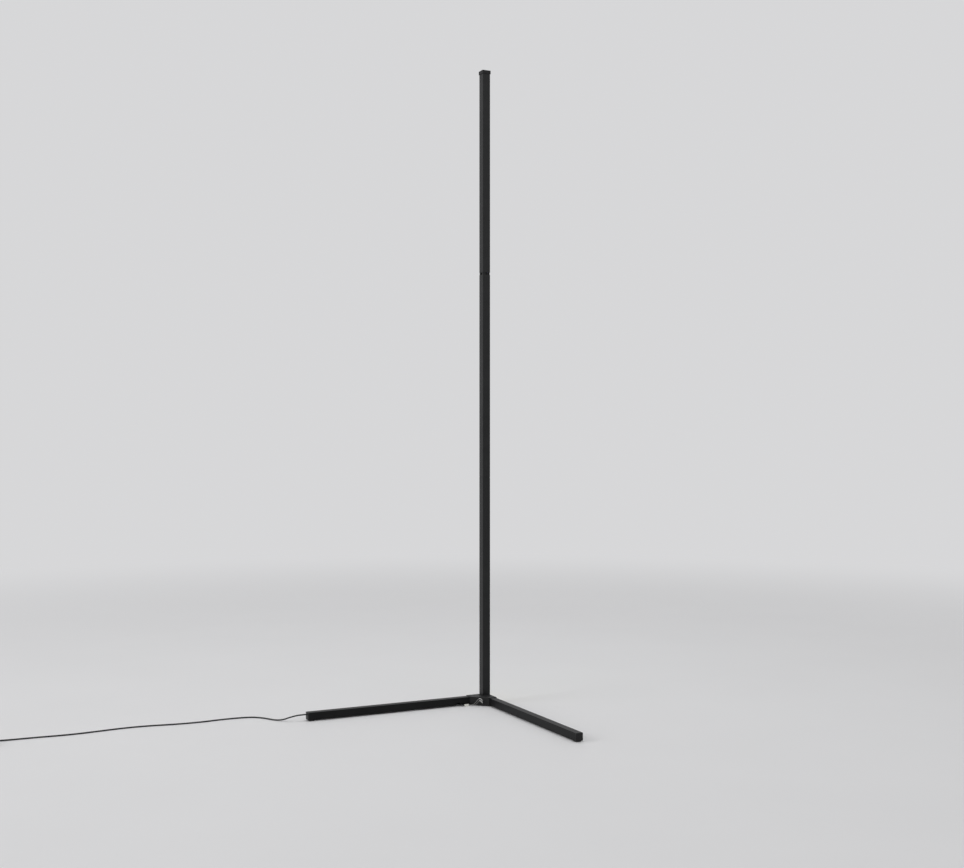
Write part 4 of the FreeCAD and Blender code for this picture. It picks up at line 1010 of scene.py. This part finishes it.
def make_base_screws():
    """Countersunk screws, head down, each with a six-sided driver recess."""
    shape = bmesh.new()
    recess_radius = 1.25
    recess_depth = 0.9
    profile = [
        (recess_depth, 0.0),
        (recess_depth, recess_radius),
        (0.0, recess_radius),
        (0.0, SCREW_HEAD_RADIUS - 0.08),
        (0.1, SCREW_HEAD_RADIUS),
        (SCREW_HEAD_HEIGHT, SCREW_SHANK_RADIUS),
        (SCREW_LENGTH, SCREW_SHANK_RADIUS),
        (SCREW_LENGTH, 0.0),
    ]
    upward = Matrix.Rotation(-math.pi / 2, 4, "Y")
    sixth = math.pi / 3
    for x, y in BASE_SCREWS:
        made = turned(shape, profile, segments=24, place=upward)
        for vert in made:
            across = math.hypot(vert.co.x, vert.co.y)
            if abs(across - recess_radius) < 0.01:
                around = math.atan2(vert.co.y, vert.co.x) % sixth - sixth / 2
                narrowed = math.cos(sixth / 2) / math.cos(around)
                vert.co.x *= narrowed
                vert.co.y *= narrowed
        bmesh.ops.translate(shape, vec=(x, y, SCREW_LOW), verts=made)
    return finish_piece(
        "countersunk_screws", shape, [OXIDE_STEEL], Matrix.Identity(4), "base_screws"
    )


cord_end = cord_points[-1] / MM
way_in = cord_end - cord_points[-2] / MM
plug_place = Matrix.Translation((cord_end.x, cord_end.y, 0)) @ Matrix.Rotation(
    math.atan2(way_in.y, way_in.x), 4, "Z"
)
plug_grip = make_plug_grip(plug_place)
plug_shell = make_plug_shell(plug_place)
cord_tie = make_tie(coil_place)
wire_plug = make_plug_half()
tail_socket = make_socket_half()
make_base_screws()

# --- floor, backdrop and light ------------------------------------------------------------------

PALE_BACKGROUND = (0.68, 0.68, 0.69, 1)


def seen_directly(tree):
    """1 for what the camera sees, also mirrored or through glass, and 0 for light on the lamp."""
    path = tree.nodes.new("ShaderNodeLightPath")
    straight = path.outputs["Is Camera Ray"]
    seen = math_node(tree, "ADD", straight, path.outputs["Is Glossy Ray"], clamp=True)
    return math_node(tree, "ADD", seen, path.outputs["Is Transmission Ray"], clamp=True)


def make_floor():
    """A wide pale floor that turns into the background's own colour far from the lamp."""
    half_width = 60
    fade_start = 1.0
    fade_end = 3.6
    shape = bmesh.new()
    bmesh.ops.create_grid(shape, x_segments=8, y_segments=8, size=half_width)
    mesh = bpy.data.meshes.new("floor")
    shape.to_mesh(mesh)
    shape.free()
    floor = bpy.data.objects.new("floor", mesh)
    bpy.context.scene.collection.objects.link(floor)
    material, tree, shader, place = new_material("pale floor")
    tone = noise(tree, place, 3, 3)
    tree.links.new(mixed(tree, tone, (0.75, 0.75, 0.76, 1), (0.78, 0.78, 0.79, 1)),
                   shader.inputs["Base Color"])
    shader.inputs["Roughness"].default_value = 0.6
    away = tree.nodes.new("ShaderNodeVectorMath")
    away.operation = "LENGTH"
    tree.links.new(place, away.inputs[0])
    far_off = spread_range(tree, away.outputs["Value"], fade_start, fade_end)
    far_off.node.interpolation_type = "SMOOTHSTEP"
    own_colour = tree.nodes.new("ShaderNodeEmission")
    own_colour.inputs["Color"].default_value = PALE_BACKGROUND
    blend = tree.nodes.new("ShaderNodeMixShader")
    tree.links.new(math_node(tree, "MULTIPLY", far_off, seen_directly(tree)), blend.inputs[0])
    tree.links.new(shader.outputs["BSDF"], blend.inputs[1])
    tree.links.new(own_colour.outputs["Emission"], blend.inputs[2])
    tree.links.new(blend.outputs["Shader"], tree.nodes["Material Output"].inputs["Surface"])
    mesh.materials.append(material)


def make_world():
    """Soft white light from all round, seen by the camera as the pale background."""
    world = bpy.data.worlds.new("studio")
    world.use_nodes = True
    tree = world.node_tree
    light = tree.nodes["Background"]
    light.inputs["Color"].default_value = (1, 1, 1, 1)
    light.inputs["Strength"].default_value = 0.4
    backdrop = tree.nodes.new("ShaderNodeBackground")
    backdrop.inputs["Color"].default_value = PALE_BACKGROUND
    blend = tree.nodes.new("ShaderNodeMixShader")
    tree.links.new(seen_directly(tree), blend.inputs[0])
    tree.links.new(light.outputs["Background"], blend.inputs[1])
    tree.links.new(backdrop.outputs["Background"], blend.inputs[2])
    tree.links.new(blend.outputs["Shader"], tree.nodes["World Output"].inputs["Surface"])
    bpy.context.scene.world = world


def softbox(name, place, target, size, power):
    data = bpy.data.lights.new(name, "AREA")
    data.shape = "RECTANGLE"
    data.size = size[0]
    data.size_y = size[1]
    data.energy = power
    light = bpy.data.objects.new(name, data)
    light.location = place
    aim = Vector(target) - Vector(place)
    light.rotation_euler = aim.to_track_quat("-Z", "Y").to_euler()
    bpy.context.scene.collection.objects.link(light)


make_floor()
make_world()
softbox("left softbox", (-5.4, 0.4, 2.2), target=(-0.1, 0, 0.6), size=(2.4, 3.0), power=120)
softbox("front softbox", (0.6, -4.6, 2.4), target=(0, 0, 0.6), size=(2.4, 2.4), power=22)
softbox("top softbox", (0.2, 0.3, 3.6), target=(0, 0, 0.3), size=(2.6, 2.6), power=42)

bpy.context.scene.view_settings.view_transform = "Standard"
